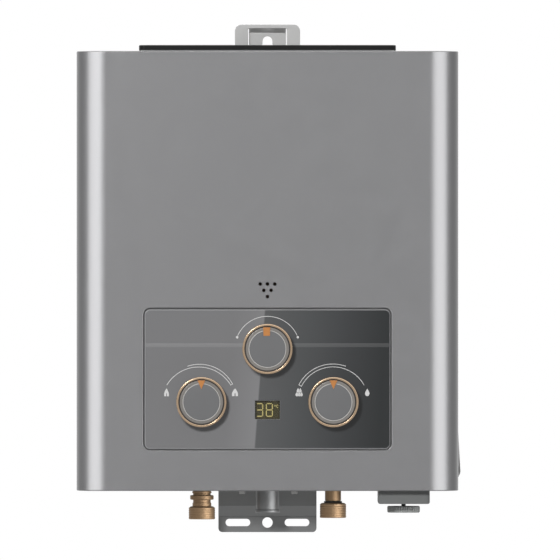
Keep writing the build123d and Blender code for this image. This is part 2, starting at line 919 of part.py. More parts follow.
def make_gas_valve_body():
    """Die-cast gas valve over the gas stub, with the sockets of its spindle and the push rod."""
    body = block(-gas_body_left, gas_body_right, -gas_body_front, -gas_body_back, gas_body_low, gas_body_high)
    body = chamfer(body.edges().filter_by(Axis.X), gas_body_chamfer)
    body -= socket(-side_knob_offset, valve_z, -gas_body_front)
    return body - rod_hole(rod_tip - rod_travel - 1, gas_body_right + 1)


def make_solenoid():
    """Safety solenoid on the gas valve's left end: a coil in a bent yoke."""
    right = -gas_body_left
    left = right - solenoid_length
    half = solenoid_width / 2
    yoke = block(left, right, fitting_y - half, fitting_y + half, valve_z - half, valve_z + half)
    gap = block(
        left + solenoid_yoke,
        right - solenoid_yoke,
        fitting_y - half - 1,
        fitting_y + half + 1,
        valve_z - half + solenoid_yoke,
        valve_z + half + 1,
    )
    coil = flat_rod(
        valve_sides, half - solenoid_yoke, on_rod_axis(left + solenoid_yoke), on_rod_axis(right - solenoid_yoke)
    )
    return yoke - gap + coil


def make_microswitch():
    """Switch beside the push rod, seated on the gas valve's end face."""
    low = valve_z + rod_radius + slip
    half = switch_width / 2
    x_high = cup_left - slip
    return block(gas_body_right, x_high, fitting_y - half, fitting_y + half, low, low + switch_height)


def make_gas_riser():
    """Short riser between the gas valve and the manifold."""
    y = manifold_front + manifold_depth / 2
    low = (-riser_offset, y, gas_body_high)
    high = (-riser_offset, y, top_knob_z - manifold_height / 2)
    return flat_rod(valve_sides, riser_radius, low, high)


def make_gas_manifold():
    """Manifold bar across the burner, with the boss of the selector's spindle."""
    half = chamber_width / 2
    low = top_knob_z - manifold_height / 2
    high = top_knob_z + manifold_height / 2
    bar = block(-half, half, manifold_front, -manifold_back, low, high)
    face = manifold_front - selector_length
    bar += square_bar(2 * selector_radius, (0, face, top_knob_z), (0, manifold_front, top_knob_z))
    return bar - socket(0, top_knob_z, face)


def burner_xs():
    """Centre of each burner bar across the burner."""
    return [(i - (burner_count - 1) / 2) * burner_pitch for i in range(burner_count)]


def make_gas_jets():
    """One jet per burner bar, screwed into the manifold's rear face."""
    start = -manifold_back
    end = start + jet_length
    return Compound([flat_rod(jet_sides, jet_radius, (x, start, jet_z), (x, end, jet_z)) for x in burner_xs()])


def burner_bar(x):
    """One pressed burner bar: a slotted head, a web and a mixing tube with an open mouth."""
    half_depth = chamber_depth / 2 - burner_frame_sheet
    y_low = outlet_y - half_depth
    y_high = outlet_y + half_depth
    head_low = burner_top - burner_top_height - burner_head_drop()
    head_high = burner_top - burner_head_drop()
    half = burner_width / 2
    bar = block(x - half, x + half, y_low, y_high, head_low, head_high)
    mouth = -manifold_back + jet_length + burner_mouth_gap
    tube_back = mouth + burner_tube_length
    web_outline = [
        (mouth + burner_tube_radius, jet_z),
        (tube_back, jet_z),
        (y_high - burner_tube_radius, head_low),
        (y_low + burner_tube_radius, head_low),
    ]
    bar += side_slab(web_outline, x - burner_web / 2, x + burner_web / 2)
    bar += flat_rod(burner_tube_sides, burner_tube_radius, (x, mouth, jet_z), (x, tube_back, jet_z))
    bore_end = mouth + burner_tube_length / 2
    bar -= flat_rod(burner_tube_sides, burner_tube_bore, (x, mouth - 1, jet_z), (x, bore_end, jet_z))
    pitch = 2 * half_depth / (flame_slot_count + 1)
    slot_low = head_high - flame_slot_depth
    cut_half = flame_slot_width / 2
    for i in range(flame_slot_count):
        y = y_low + (i + 1) * pitch
        bar -= block(x - half - 1, x + half + 1, y - cut_half, y + cut_half, slot_low, head_high + 1)
    return bar


def burner_head_drop():
    """How far the burner bars' heads lie below the frame's upper edge."""
    return burner_frame_height - burner_top_height - burner_frame_sheet * 2


def make_burner_bars():
    """The row of burner bars."""
    return Compound([burner_bar(x) for x in burner_xs()])


def make_burner_frame():
    """Sheet frame that holds the burner bars and carries the combustion chamber."""
    plan = Pos(0, outlet_y) * Rectangle(chamber_width, chamber_depth)
    inner = Pos(0, outlet_y) * Rectangle(
        chamber_width - 2 * burner_frame_sheet, chamber_depth - 2 * burner_frame_sheet
    )
    return column(plan - inner, burner_top - burner_frame_height, burner_top)


def tube_ys():
    """Depth of each pass of the exchanger's tubes."""
    return [outlet_y + (i - (tube_count - 1) / 2) * tube_pitch for i in range(tube_count)]


def make_combustion_chamber():
    """Copper chamber over the burner, ribbed in front, with the tube plates of the exchanger."""
    half = chamber_width / 2
    half_depth = chamber_depth / 2
    y_low = outlet_y - half_depth
    y_high = outlet_y + half_depth
    wall = chamber_sheet
    chamber = block(-half, half, y_low, y_high, burner_top, chamber_top)
    rib_half = half - 3 * chamber_rib_height
    rib_step = chamber_height / (chamber_rib_count + 1)
    for i in range(chamber_rib_count):
        z = burner_top + (i + 1) * rib_step
        low = z - chamber_rib_height / 2
        chamber += block(-rib_half, rib_half, y_low - chamber_rib_depth, y_low, low, low + chamber_rib_height)
    chamber -= block(-half + wall, half - wall, y_low + wall, y_high - wall, burner_top - 1, chamber_top + 1)
    for side in (-1, 1):
        x = side * electrode_offset
        z = burner_top + electrode_rise
        chamber -= square_bar(2 * (electrode_radius + press_fit), (x, y_low - 1, z), (x, y_low + wall + 1, z))
    return chamber


def tube_bar(radius, x_low, x_high, y):
    """A length of an exchanger tube along X."""
    return flat_rod(tube_sides, radius, (x_low, y, tube_z), (x_high, y, tube_z))


def make_exchanger_tubes():
    """Straight tube passes through the fins, between the chamber's side walls."""
    end = chamber_width / 2 - chamber_sheet
    bore = tube_radius - tube_wall
    return Compound([tube_bar(tube_radius, -end, end, y) - tube_bar(bore, -end, end, y) for y in tube_ys()])


def make_fin_stack():
    """Copper fins, brazed round the tube passes."""
    half_depth = chamber_depth / 2 - chamber_sheet - slip
    low = tube_z - fin_height / 2
    high = tube_z + fin_height / 2
    span = chamber_width - 2 * chamber_sheet
    pitch = span / (fin_count + 1)
    fins = []
    for i in range(fin_count):
        x = -span / 2 + (i + 1) * pitch
        x_low = x - fin_sheet / 2
        fin = block(x_low, x_low + fin_sheet, outlet_y - half_depth, outlet_y + half_depth, low, high)
        for y in tube_ys():
            fin -= tube_bar(tube_radius, x_low - 1, x_low + fin_sheet + 1, y)
        fins.append(fin)
    return Compound(fins)


def header(y_first, y_second, side):
    """Pressed return header over the ends of two neighbouring tube passes."""
    wall = chamber_width / 2
    width = 2 * (tube_radius + tube_wall)
    length = abs(y_second - y_first) + width
    plane = Plane(origin=(side * wall, (y_first + y_second) / 2, tube_z), x_dir=(0, 1, 0), z_dir=(side, 0, 0))
    cap = extrude(plane * Rectangle(length, width), header_depth)
    crown = cap.faces().sort_by(Axis.X)[-1 if side > 0 else 0]
    return chamfer(crown.edges(), header_chamfer)


def make_return_headers():
    """Headers that join the passes in turn, left then right."""
    ys = tube_ys()
    caps = [header(ys[i], ys[i + 1], -1 if i % 2 == 0 else 1) for i in range(tube_count - 1)]
    return Compound(caps)


def make_draft_hood():
    """Tapered hood from the exchanger to the flue opening in the roof."""
    mouth_width, mouth_depth = hood_mouth(0)

    def funnel(inset):
        low_half = chamber_width / 2 - inset
        high_half = mouth_width / 2 - slip - inset
        front_view = make_face(
            Polyline(
                (-low_half, chamber_top),
                (low_half, chamber_top),
                (high_half, roof_low),
                (-high_half, roof_low),
                close=True,
            )
        )
        low_depth = chamber_depth / 2 - inset
        high_depth = mouth_depth / 2 - slip - inset
        side_view = [
            (outlet_y - low_depth, chamber_top),
            (outlet_y + low_depth, chamber_top),
            (outlet_y + high_depth, roof_low),
            (outlet_y - high_depth, roof_low),
        ]
        return slab(front_view, front, back) & side_slab(side_view, -case_width / 2, case_width / 2)

    return funnel(0) - funnel(hood_sheet)


def make_chamber_struts():
    """Four struts between the chamber and the back plate."""
    struts = []
    y_low = outlet_y + chamber_depth / 2
    for side in (-1, 1):
        x = side * (chamber_width / 2 - strut_width)
        for z in (burner_top + strut_height, chamber_top - strut_height):
            half = strut_width / 2
            strut = block(x - half, x + half, y_low, back_inner, z - strut_height / 2, z + strut_height / 2)
            cut = block(
                x - half - 1,
                x + half + 1,
                y_low + frame_sheet,
                back_inner - frame_sheet,
                z - strut_height / 2 + frame_sheet,
                z + strut_height / 2 + 1,
            )
            struts.append(strut - cut)
    return Compound(struts)


def pipe(points):
    """A water pipe along a route whose corners are cut into short mitred bends."""
    route = [Vector(*point) for point in points]
    stations = [route[0]]
    for before, corner, after in zip(route, route[1:], route[2:]):
        stations.append(corner + (before - corner).normalized() * pipe_bend)
        stations.append(corner + (after - corner).normalized() * pipe_bend)
    stations.append(route[-1])
    path = Polyline(*stations)
    section = Plane(origin=route[0], z_dir=route[1] - route[0]) * RegularPolygon(pipe_radius, tube_sides)
    return sweep(section, path=path, transition=Transition.RIGHT)


def make_cold_pipe():
    """Pipe from the water valve up the right side to the exchanger's front pass."""
    y = tube_ys()[0]
    start = on_rod_axis(water_body_right + valve_outlet_length)
    wall = chamber_width / 2
    return pipe([start, on_rod_axis(pipe_lane), (pipe_lane, y, tube_z), (wall, y, tube_z)])


def make_hot_outlet_pipe():
    """Pipe from the exchanger's rear pass down the left side, brazed to its turned outlet end."""
    y = tube_ys()[-1]
    level = hot_outlet_top + hot_pipe_rise
    tube = pipe(
        [
            (-chamber_width / 2, y, tube_z),
            (-pipe_lane, y, tube_z),
            (-pipe_lane, fitting_y, level),
            (-fitting_offset, fitting_y, level),
            (-fitting_offset, fitting_y, hot_outlet_top),
        ]
    )
    return Compound([tube, hot_outlet_end()])


def make_ignition_module():
    """Control and spark module on the back plate, right of the chamber."""
    low = valve_z + water_body_radius + pipe_radius * 3
    left = chamber_width / 2 + module_gap
    right = inner_half - frame_sheet - module_side_gap
    module = block(left, right, back_inner - module_depth, back_inner, low, low + module_height)
    return chamfer(module.faces().sort_by(Axis.Y)[0].edges(), module_chamfer)


def electrode(x):
    """A ceramic-insulated electrode through the chamber's front wall, over the burner."""
    z = burner_top + electrode_rise
    wall = outlet_y - chamber_depth / 2
    ceramic_start = wall - electrode_ceramic_length / 2
    ceramic = flat_rod(electrode_sides, electrode_ceramic_radius, (x, ceramic_start, z), (x, wall, z))
    inner = electrode_radius * math.cos(math.pi / electrode_sides)
    return ceramic + flat_rod(electrode_sides, inner, (x, wall, z), (x, wall + electrode_reach, z))


def make_thermostat():
    """Overheat switch on the front of the exchanger."""
    wall = outlet_y - chamber_depth / 2
    face = (0, wall - thermostat_height, tube_z)
    return flat_rod(fastener_sides, thermostat_radius, face, (0, wall, tube_z))


def build_nodes():
    """Every node's name and its shape."""
    nodes = {
        "front_cover": make_front_cover(),
        "back_plate": make_back_plate(),
        "top_plate": make_top_plate(),
        "bottom_plate": make_bottom_plate(),
        "outlet_collar": make_outlet_collar(),
        "exhaust_grille": make_exhaust_grille(),
        "upper_hanger": make_upper_hanger(),
        "lower_bracket": make_lower_bracket(),
        "bracket_rivets": make_bracket_rivets(),
        "cover_screws": make_cover_screws(),
        "panel_glass": make_panel_glass(),
        "display_window": make_display_window(),
        "display_module": make_display_module(),
        "display_board": make_display_board(),
        "panel_carrier": make_panel_carrier(),
        "cold_inlet_fitting": make_cold_inlet(),
        "inlet_filter": make_inlet_filter(),
        "gas_inlet_stub": make_gas_inlet(),
        "battery_housing": make_battery_housing(),
        "battery_contacts": make_battery_contacts(),
        "battery_drawer": make_battery_drawer(),
        "battery_cells": make_battery_cells(),
        "battery_thumbscrew": make_thumb_screw(),
        "water_valve_body": make_water_valve_body(),
        "water_valve_cover": make_water_valve_cover(),
        "diaphragm": make_diaphragm(),
        "valve_push_rod": make_push_rod(),
        "gas_valve_body": make_gas_valve_body(),
        "solenoid_valve": make_solenoid(),
        "microswitch": make_microswitch(),
        "gas_riser": make_gas_riser(),
        "gas_manifold": make_gas_manifold(),
        "gas_jets": make_gas_jets(),
        "burner_bars": make_burner_bars(),
        "burner_frame": make_burner_frame(),
        "combustion_chamber": make_combustion_chamber(),
        "exchanger_tubes": make_exchanger_tubes(),
        "fin_stack": make_fin_stack(),
        "return_headers": make_return_headers(),
        "draft_hood": make_draft_hood(),
        "chamber_struts": make_chamber_struts(),
        "cold_feed_pipe": make_cold_pipe(),
        "hot_outlet_pipe": make_hot_outlet_pipe(),
        "ignition_module": make_ignition_module(),
        "ignition_electrode": electrode(-electrode_offset),
        "flame_electrode": electrode(electrode_offset),
        "overheat_thermostat": make_thermostat(),
    }
    for name, (x, z, valve_face) in zip(("season", "flame", "flow"), knob_places()):
        nodes[name + "_knob"] = make_knob(x, z, valve_face)
        nodes[name + "_knob_cap"] = make_knob_cap(x, z)
        nodes[name + "_knob_pointer"] = make_knob_pointer(x, z)
    return nodes


os.makedirs("parts", exist_ok=True)
for name, shape in build_nodes().items():
    export_step(shape, f"parts/{name}.step")
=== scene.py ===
import json
from math import acos, copysign, cos, pi, radians, sin

import bmesh
import bpy
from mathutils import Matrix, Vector
from mathutils.geometry import tessellate_polygon

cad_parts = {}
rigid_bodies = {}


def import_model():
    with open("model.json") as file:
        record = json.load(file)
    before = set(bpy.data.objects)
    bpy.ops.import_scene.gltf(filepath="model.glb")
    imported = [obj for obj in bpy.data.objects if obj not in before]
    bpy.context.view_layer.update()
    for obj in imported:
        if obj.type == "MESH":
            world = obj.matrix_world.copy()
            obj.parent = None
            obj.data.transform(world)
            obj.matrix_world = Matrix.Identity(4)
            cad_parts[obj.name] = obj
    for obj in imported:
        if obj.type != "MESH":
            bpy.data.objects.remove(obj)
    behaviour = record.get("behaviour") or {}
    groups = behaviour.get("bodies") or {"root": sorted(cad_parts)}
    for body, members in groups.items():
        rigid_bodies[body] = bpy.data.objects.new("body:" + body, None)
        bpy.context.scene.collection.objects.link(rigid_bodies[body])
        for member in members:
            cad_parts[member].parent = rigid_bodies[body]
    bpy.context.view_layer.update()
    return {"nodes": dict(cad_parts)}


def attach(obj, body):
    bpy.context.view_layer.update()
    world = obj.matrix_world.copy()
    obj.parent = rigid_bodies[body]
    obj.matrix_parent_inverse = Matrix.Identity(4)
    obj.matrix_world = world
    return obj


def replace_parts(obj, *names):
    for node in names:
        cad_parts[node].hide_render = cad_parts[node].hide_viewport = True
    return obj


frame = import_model()

# The photograph's view: the camera stands 15 m in front of the casing, level with its middle, and
# looks straight at it. Its shift only sets the heater's place in the frame.
CASING_MIDDLE = -0.1775
CAMERA_PLACE = -15.118
studio = bpy.context.scene.collection.objects
camera_data = bpy.data.cameras.new("camera")
camera_data.lens = 1213.6
camera_data.sensor_width = 36.0
camera_data.shift_x = 0.0224
camera_data.shift_y = -0.0161
camera = bpy.data.objects.new("camera", camera_data)
camera.location = (0, CAMERA_PLACE, CASING_MIDDLE)
camera.rotation_euler = (pi / 2, 0, 0)
studio.link(camera)
bpy.context.scene.camera = camera
bpy.context.scene.view_settings.view_transform = "Standard"

# The studio: a room with a bright ceiling, a key lamp from the upper left for the knobs' shadows,
# a lamp that only glints in metal, and two wide soft boxes beside the camera for the bright bands
# on the cover's corners. The boxes light only the pieces that are linked to them.
ROOM_LIGHT = 0.24
FRONT_WALL, SIDE_WALL, BACK_WALL, CEILING = 0.75, 0.85, 1.2, 1.9
WHITE = (1, 1, 1, 1)


def connect(node, sockets):
    """Sets or links inputs of a shader node, by name or number."""
    for key, value in dict(sockets).items():
        if isinstance(value, bpy.types.NodeSocket):
            node.id_data.links.new(value, node.inputs[key])
        else:
            node.inputs[key].default_value = value
    return node


def put(tree, kind, sockets=(), **settings):
    """Adds a shader node and sets it up."""
    node = tree.nodes.new("ShaderNode" + kind)
    for name, value in settings.items():
        setattr(node, name, value)
    return connect(node, sockets)


def calc(tree, operation, *values, **settings):
    """The result of a math node."""
    return put(tree, "Math", dict(enumerate(values)), operation=operation, **settings).outputs[0]


def axes(tree, node, output):
    """The X, Y and Z parts of what a node gives."""
    return put(tree, "SeparateXYZ", {0: put(tree, node).outputs[output]}).outputs


def between(tree, mask, first, second):
    """A colour between two others, by a mask."""
    return put(tree, "Mix", {0: mask, 6: first, 7: second}, data_type="RGBA").outputs[2]


def ramp(tree, value, stops):
    """A colour that follows a value through (position, grey or colour) stops."""
    node = put(tree, "ValToRGB", {0: value})
    marks = node.color_ramp.elements
    while len(marks) < len(stops):
        marks.new(0.5)
    for mark, (position, tone) in zip(marks, stops):
        mark.position = position
        mark.color = (*tone, 1) if isinstance(tone, tuple) else (tone, tone, tone, 1)
    return node.outputs[0]


world = bpy.data.worlds.new("studio")
world.use_nodes = True
bpy.context.scene.world = world
room = world.node_tree
room.nodes.clear()
ray = put(room, "LightPath").outputs
toward = axes(room, "TexCoord", "Generated")
walls = ramp(room, calc(room, "MULTIPLY_ADD", toward["Y"], 0.5, 0.5), [
    (0.0, FRONT_WALL), (0.30, FRONT_WALL), (0.52, SIDE_WALL), (0.80, SIDE_WALL), (0.95, BACK_WALL),
])
ceiling = ramp(room, toward["Z"], [(0.30, 0.0), (0.60, 1.0)])
painted = between(room, ceiling, walls, (CEILING, CEILING, CEILING, 1))
seen = between(room, ray["Is Glossy Ray"], WHITE, painted)
direct = calc(room, "MAXIMUM", ray["Is Camera Ray"], ray["Is Transmission Ray"])
shown = calc(room, "MAXIMUM", direct, ray["Is Glossy Ray"])
lit = put(room, "Background", {0: WHITE, 1: ROOM_LIGHT})
backdrop = put(room, "Background", {0: seen, 1: 1.0})
mixed = put(room, "MixShader", {0: shown, 1: lit.outputs[0], 2: backdrop.outputs[0]})
put(room, "OutputWorld", {0: mixed.outputs[0]})


def lamp(name, place, width, height, power, **seen_by):
    """A soft box aimed at the middle of the casing."""
    light = bpy.data.lights.new(name, "AREA")
    light.shape = "RECTANGLE"
    light.size, light.size_y, light.energy = width, height, power
    made = bpy.data.objects.new(name, light)
    made.location = place
    aim = Vector((0, 0, CASING_MIDDLE)) - Vector(place)
    made.rotation_euler = aim.to_track_quat("-Z", "Y").to_euler()
    for kind, state in seen_by.items():
        setattr(made, kind, state)
    studio.link(made)
    return made


lamp("key_lamp", (-0.35, -2.6, 0.19), 0.24, 0.24, 61, visible_glossy=False)
lamp("glint_lamp", (-0.93, -1.94, 0.91), 0.60, 0.60, 28, visible_diffuse=False)
strip_receivers = []
for side, name in ((-1, "left_strip"), (1, "right_strip")):
    place = (side * 1.295, -1.205, CASING_MIDDLE)
    strip = lamp(name, place, 1.65, 2.6, 76, visible_diffuse=False)
    strip.light_linking.receiver_collection = bpy.data.collections.new("lit by " + name)
    strip_receivers.append(strip.light_linking.receiver_collection.objects)

# The floor of the studio: a pale matt sheet far below the heater. The camera sees it lifted
# towards white, metal doesn't mirror it, and from under it is clear.
FLOOR_HEIGHT = -1.6
FLOOR_HALF = 3.0
FLOOR_WHITE = 0.85
FLOOR_LIFT = 0.6


def noise(tree, scale, detail=2.0, roughness=0.5, **sockets):
    """A cloudy value that changes over a surface."""
    sockets.update(Scale=scale, Detail=detail, Roughness=roughness)
    return put(tree, "TexNoise", sockets).outputs["Fac"]


def blank(name):
    """A new material with its node tree and its shader."""
    material = bpy.data.materials.new(name)
    material.use_nodes = True
    return material, material.node_tree, material.node_tree.nodes["Principled BSDF"]


floor_paint, tree, shader = blank("floor paint")
floor_tone = ramp(tree, noise(tree, 3.0, 4.0), [(0.3, 0.80), (0.7, 0.83)])
connect(shader, {"Roughness": 0.9, "Base Color": floor_tone})
bright = put(tree, "Emission", {0: WHITE, 1: FLOOR_WHITE})
lift = calc(tree, "MULTIPLY", put(tree, "LightPath").outputs["Is Camera Ray"], FLOOR_LIFT)
lifted = put(tree, "MixShader", {0: lift, 1: shader.outputs[0], 2: bright.outputs[0]})
under = put(tree, "NewGeometry").outputs["Backfacing"]
clear = put(tree, "BsdfTransparent")
floor_mix = put(tree, "MixShader", {0: under, 1: lifted.outputs[0], 2: clear.outputs[0]})
connect(tree.nodes["Material Output"], {"Surface": floor_mix.outputs[0]})
floor_mesh = bpy.data.meshes.new("floor")
corners = [(-FLOOR_HALF, -FLOOR_HALF), (FLOOR_HALF, -FLOOR_HALF)]
corners += [(FLOOR_HALF, FLOOR_HALF), (-FLOOR_HALF, FLOOR_HALF)]
floor_mesh.from_pydata([(x, y, FLOOR_HEIGHT) for x, y in corners], [], [(0, 1, 2, 3)])
floor_mesh.materials.append(floor_paint)
floor = bpy.data.objects.new("floor", floor_mesh)
studio.link(floor)
floor.visible_glossy = False

# Upper hanger: a plate of galvanised sheet riveted to the back plate. Its middle is slit and
# pressed back to the wall as a tongue, which holds the keyhole for the wall hook.
HANGER_SHEET = 0.0015
PLATE_BACK = -0.0065
DUST = (0.42, 0.40, 0.37, 1)
# How far a rounded edge has come in halfway round, as a share of its rounding.
MIDWAY = 0.29


def effect(name, inputs, outputs):
    """A node group with named inputs, each with its kind and value, and named outputs."""
    tree = bpy.data.node_groups.new(name, "ShaderNodeTree")
    for title, kind, value in inputs:
        kind = "NodeSocket" + kind
        socket = tree.interface.new_socket(name=title, in_out="INPUT", socket_type=kind)
        socket.default_value = value
    for title in outputs:
        tree.interface.new_socket(name=title, in_out="OUTPUT", socket_type="NodeSocketFloat")
    return tree, tree.nodes.new("NodeGroupInput").outputs, tree.nodes.new("NodeGroupOutput")


def using(tree, group, **values):
    """What an effect gives in a material."""
    return put(tree, "Group", values, node_tree=group).outputs


def remap(tree, value, low, high, to_low=0.0, to_high=1.0):
    """A value carried from one range to another, and held at its ends."""
    values = (value, low, high, to_low, to_high)
    return put(tree, "MapRange", dict(enumerate(values))).outputs[0]


worn, given, result = effect(
    "edge wear", [("Width", "Float", 0.0006), ("Amount", "Float", 0.5)], ["Mask"],
)
# At an edge a small bevel turns the normal away, and noise breaks the bare places up.
softened = put(worn, "Bevel", {"Radius": given["Width"]}, samples=4).outputs[0]
shape = put(worn, "NewGeometry").outputs["Normal"]
sameness = put(worn, "VectorMath", {0: softened, 1: shape}, operation="DOT_PRODUCT")
turn = calc(worn, "MULTIPLY", calc(worn, "SUBTRACT", 1.0, sameness.outputs["Value"]), 5.0)
rubbed = calc(worn, "MULTIPLY_ADD", noise(worn, 160.0, 5.0, 0.7), 2.4, -0.6)
rubbed = calc(worn, "MULTIPLY", turn, rubbed)
connect(result, {"Mask": calc(worn, "MULTIPLY", rubbed, given["Amount"], use_clamp=True)})

grain, given, result = effect(
    "cloud and grain", [("Scale", "Float", 600.0), ("Stretch", "Vector", (1, 1, 1))],
    ["Cloud", "Grain"],
)
# A broad and a fine variation, in the piece's own coordinates.
spot = put(grain, "TexCoord").outputs["Object"]
spot = put(grain, "VectorMath", {0: spot, 1: given["Stretch"]}, operation="MULTIPLY").outputs[0]
cloud = noise(grain, calc(grain, "MULTIPLY", given["Scale"], 0.035), 3.0, Vector=spot)
fine = noise(grain, given["Scale"], 5.0, 0.65, Vector=spot)
connect(result, {"Cloud": cloud, "Grain": fine})

settled, given, result = effect("settled dust", [("Amount", "Float", 0.2)], ["Mask"])
# Dust lies in drifts on what faces up.
lying = remap(settled, axes(settled, "NewGeometry", "Normal")["Z"], 0.3, 1.0)
drifted = calc(settled, "MULTIPLY", lying, noise(settled, 45.0, 6.0))
connect(result, {"Mask": calc(settled, "MULTIPLY", drifted, given["Amount"])})


def shaded(tone, factor):
    """A colour made darker or lighter, as the shader wants it."""
    return (*[min(channel * factor, 1.0) for channel in tone], 1)


def finish(
    name, tone, edge, metal=0.0, rough=0.4, spread=0.08, scale=600, stretch=(1, 1, 1),
    relief=1e-5, width=0.0006, wear=0.4, vary=0.07, dust=0.15, plain=(),
):
    """A surface with broad and fine variation, bare edges, settled dust and a fine relief."""
    material, tree, shader = blank(name)
    texture = using(tree, grain, Scale=scale, Stretch=stretch)
    bare = using(tree, worn, Width=width, Amount=wear)["Mask"]
    laid = using(tree, settled, Amount=dust)["Mask"]
    fine = calc(tree, "MULTIPLY", texture["Grain"], 0.4)
    mixture = calc(tree, "MULTIPLY_ADD", texture["Cloud"], 0.6, fine)
    body = between(tree, mixture, shaded(tone, 1 - 2 * vary), shaded(tone, 1 + 2 * vary))
    roughness = remap(tree, mixture, 0.3, 0.7, rough - spread, rough + spread)
    bump = put(tree, "Bump", {"Strength": 1.0, "Distance": relief, "Height": texture["Grain"]})
    connect(shader, {
        "Metallic": metal,
        "Base Color": between(tree, laid, between(tree, bare, body, (*edge, 1)), DUST),
        "Roughness": calc(tree, "MULTIPLY_ADD", laid, 0.5, roughness),
        "Normal": bump.outputs[0],
        **dict(plain),
    })
    return material


def eased(corners, steps=6):
    """A closed line through (a, b, rounding) corners, with an arc where a rounding is given."""
    line = []
    for i, corner in enumerate(corners):
        here = Vector(corner[:2])
        rounding = corner[2] if len(corner) > 2 else 0
        if not rounding:
            line.append(tuple(here))
            continue
        to_last = (Vector(corners[i - 1][:2]) - here).normalized()
        to_next = (Vector(corners[(i + 1) % len(corners)][:2]) - here).normalized()
        halfway = (to_last + to_next).normalized()
        centre = here + halfway * (rounding / to_last.dot(halfway))
        first = here + to_last * rounding - centre
        last = here + to_next * rounding - centre
        sweep = first.angle(last)
        for k in range(steps + 1):
            s = k / steps
            arm = first * sin((1 - s) * sweep) + last * sin(s * sweep)
            line.append(tuple(centre + arm / sin(sweep)))
    return line


def rectangle(a, b, width, height, rounding=0.0, steps=6):
    """A rectangle round a centre, anticlockwise, with rounded corners."""
    signs = [(-1, -1), (1, -1), (1, 1), (-1, 1)]
    return eased([(a + u * width / 2, b + v * height / 2, rounding) for u, v in signs], steps)


def turns(steps):
    """The angles of a full turn in equal steps."""
    return [2 * pi * k / steps for k in range(steps)]


def circle(a, b, radius, steps=48):
    """A circle as an anticlockwise line."""
    return [(a + radius * cos(t), b + radius * sin(t)) for t in turns(steps)]


def inset(line, distance):
    """An anticlockwise line moved inward."""
    moved = []
    for i, point in enumerate(line):
        here = Vector(point)
        before = (here - Vector(line[i - 1])).normalized()
        after = (Vector(line[(i + 1) % len(line)]) - here).normalized()
        left = Vector((-before.y, before.x)) + Vector((-after.y, after.x))
        moved.append(tuple(here + left * (distance / (1 + before.dot(after)))))
    return moved


def at_depth(line, y):
    """An (x, z) line on an upright plane."""
    return [(x, y, z) for x, z in line]


def at_height(line, z):
    """An (x, y) line on a level plane."""
    return [(x, y, z) for x, y in line]


def at_side(line, x):
    """A (y, z) line on a plane across the heater."""
    return [(x, y, z) for y, z in line]


def joined(*shapes):
    """Several shapes, each its points and its faces, as one."""
    points, faces = [], []
    for more_points, more_faces in shapes:
        faces += [[i + len(points) for i in face] for face in more_faces]
        points += more_points
    return points, faces


def skin(loops, ring=False):
    """Faces between closed loops of equal length, and from last to first if they are a ring."""
    count = len(loops[0])
    faces = []
    for i in range(len(loops) if ring else len(loops) - 1):
        a = i * count
        b = (i + 1) % len(loops) * count
        for j in range(count):
            k = (j + 1) % count
            faces.append((a + j, a + k, b + k, b + j))
    return [point for loop in loops for point in loop], faces


def sides(line, levels, lift=at_depth, start=0):
    """Faces along a line that is moved inward by the distance of each (distance, place) level."""
    return skin([lift(inset(line, distance), start + place) for distance, place in levels])


def wall(line, low, high):
    """Faces between a level line at two heights."""
    return skin([at_height(line, low), at_height(line, high)])


def cap(loop, *holes):
    """A flat face inside a loop, open at the holes."""
    loops = [[Vector(point) for point in line] for line in (loop, *holes)]
    faces = [tuple(face) for face in tessellate_polygon(loops)]
    return [tuple(point) for line in loops for point in line], faces


def flat(lift, place, *lines):
    """A flat face on a plane, inside its first line and open at the others."""
    return cap(*[lift(line, place) for line in lines])


def sheet(outline, holes, near, far, lift=at_depth, edge=0.0003):
    """A sheet with rounded edges between two planes. lift lays its outline and holes on a plane."""
    step = copysign(edge, far - near)
    levels = [(edge, near), (MIDWAY * edge, near + MIDWAY * step), (0, near + step)]
    levels += [(0, far - step), (MIDWAY * edge, far - MIDWAY * step), (edge, far)]
    shapes = [sides(outline, levels, lift)]
    levels = [(-distance, place) for distance, place in levels]
    shapes += [sides(hole, levels, lift) for hole in holes]
    lines = [inset(outline, edge)] + [inset(hole, -edge) for hole in holes]
    return joined(*shapes, flat(lift, near, *lines), flat(lift, far, *lines))


def piece(name, shape, material, body="casing", crisp=32.0):
    """A mesh piece that rides on a body. Edges sharper than the angle stay crisp."""
    mesh = bpy.data.meshes.new(name)
    mesh.from_pydata(shape[0], [], shape[1])
    shell = bmesh.new()
    shell.from_mesh(mesh)
    bmesh.ops.remove_doubles(shell, verts=shell.verts, dist=1e-6)
    bmesh.ops.recalc_face_normals(shell, faces=shell.faces)
    shell.to_mesh(mesh)
    shell.free()
    mesh.shade_smooth()
    mesh.set_sharp_from_angle(angle=radians(crisp))
    mesh.materials.append(material)
    made = bpy.data.objects.new(name, mesh)
    studio.link(made)
    made.modifiers.new("even faces", "WEIGHTED_NORMAL").keep_sharp = True
    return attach(made, body)


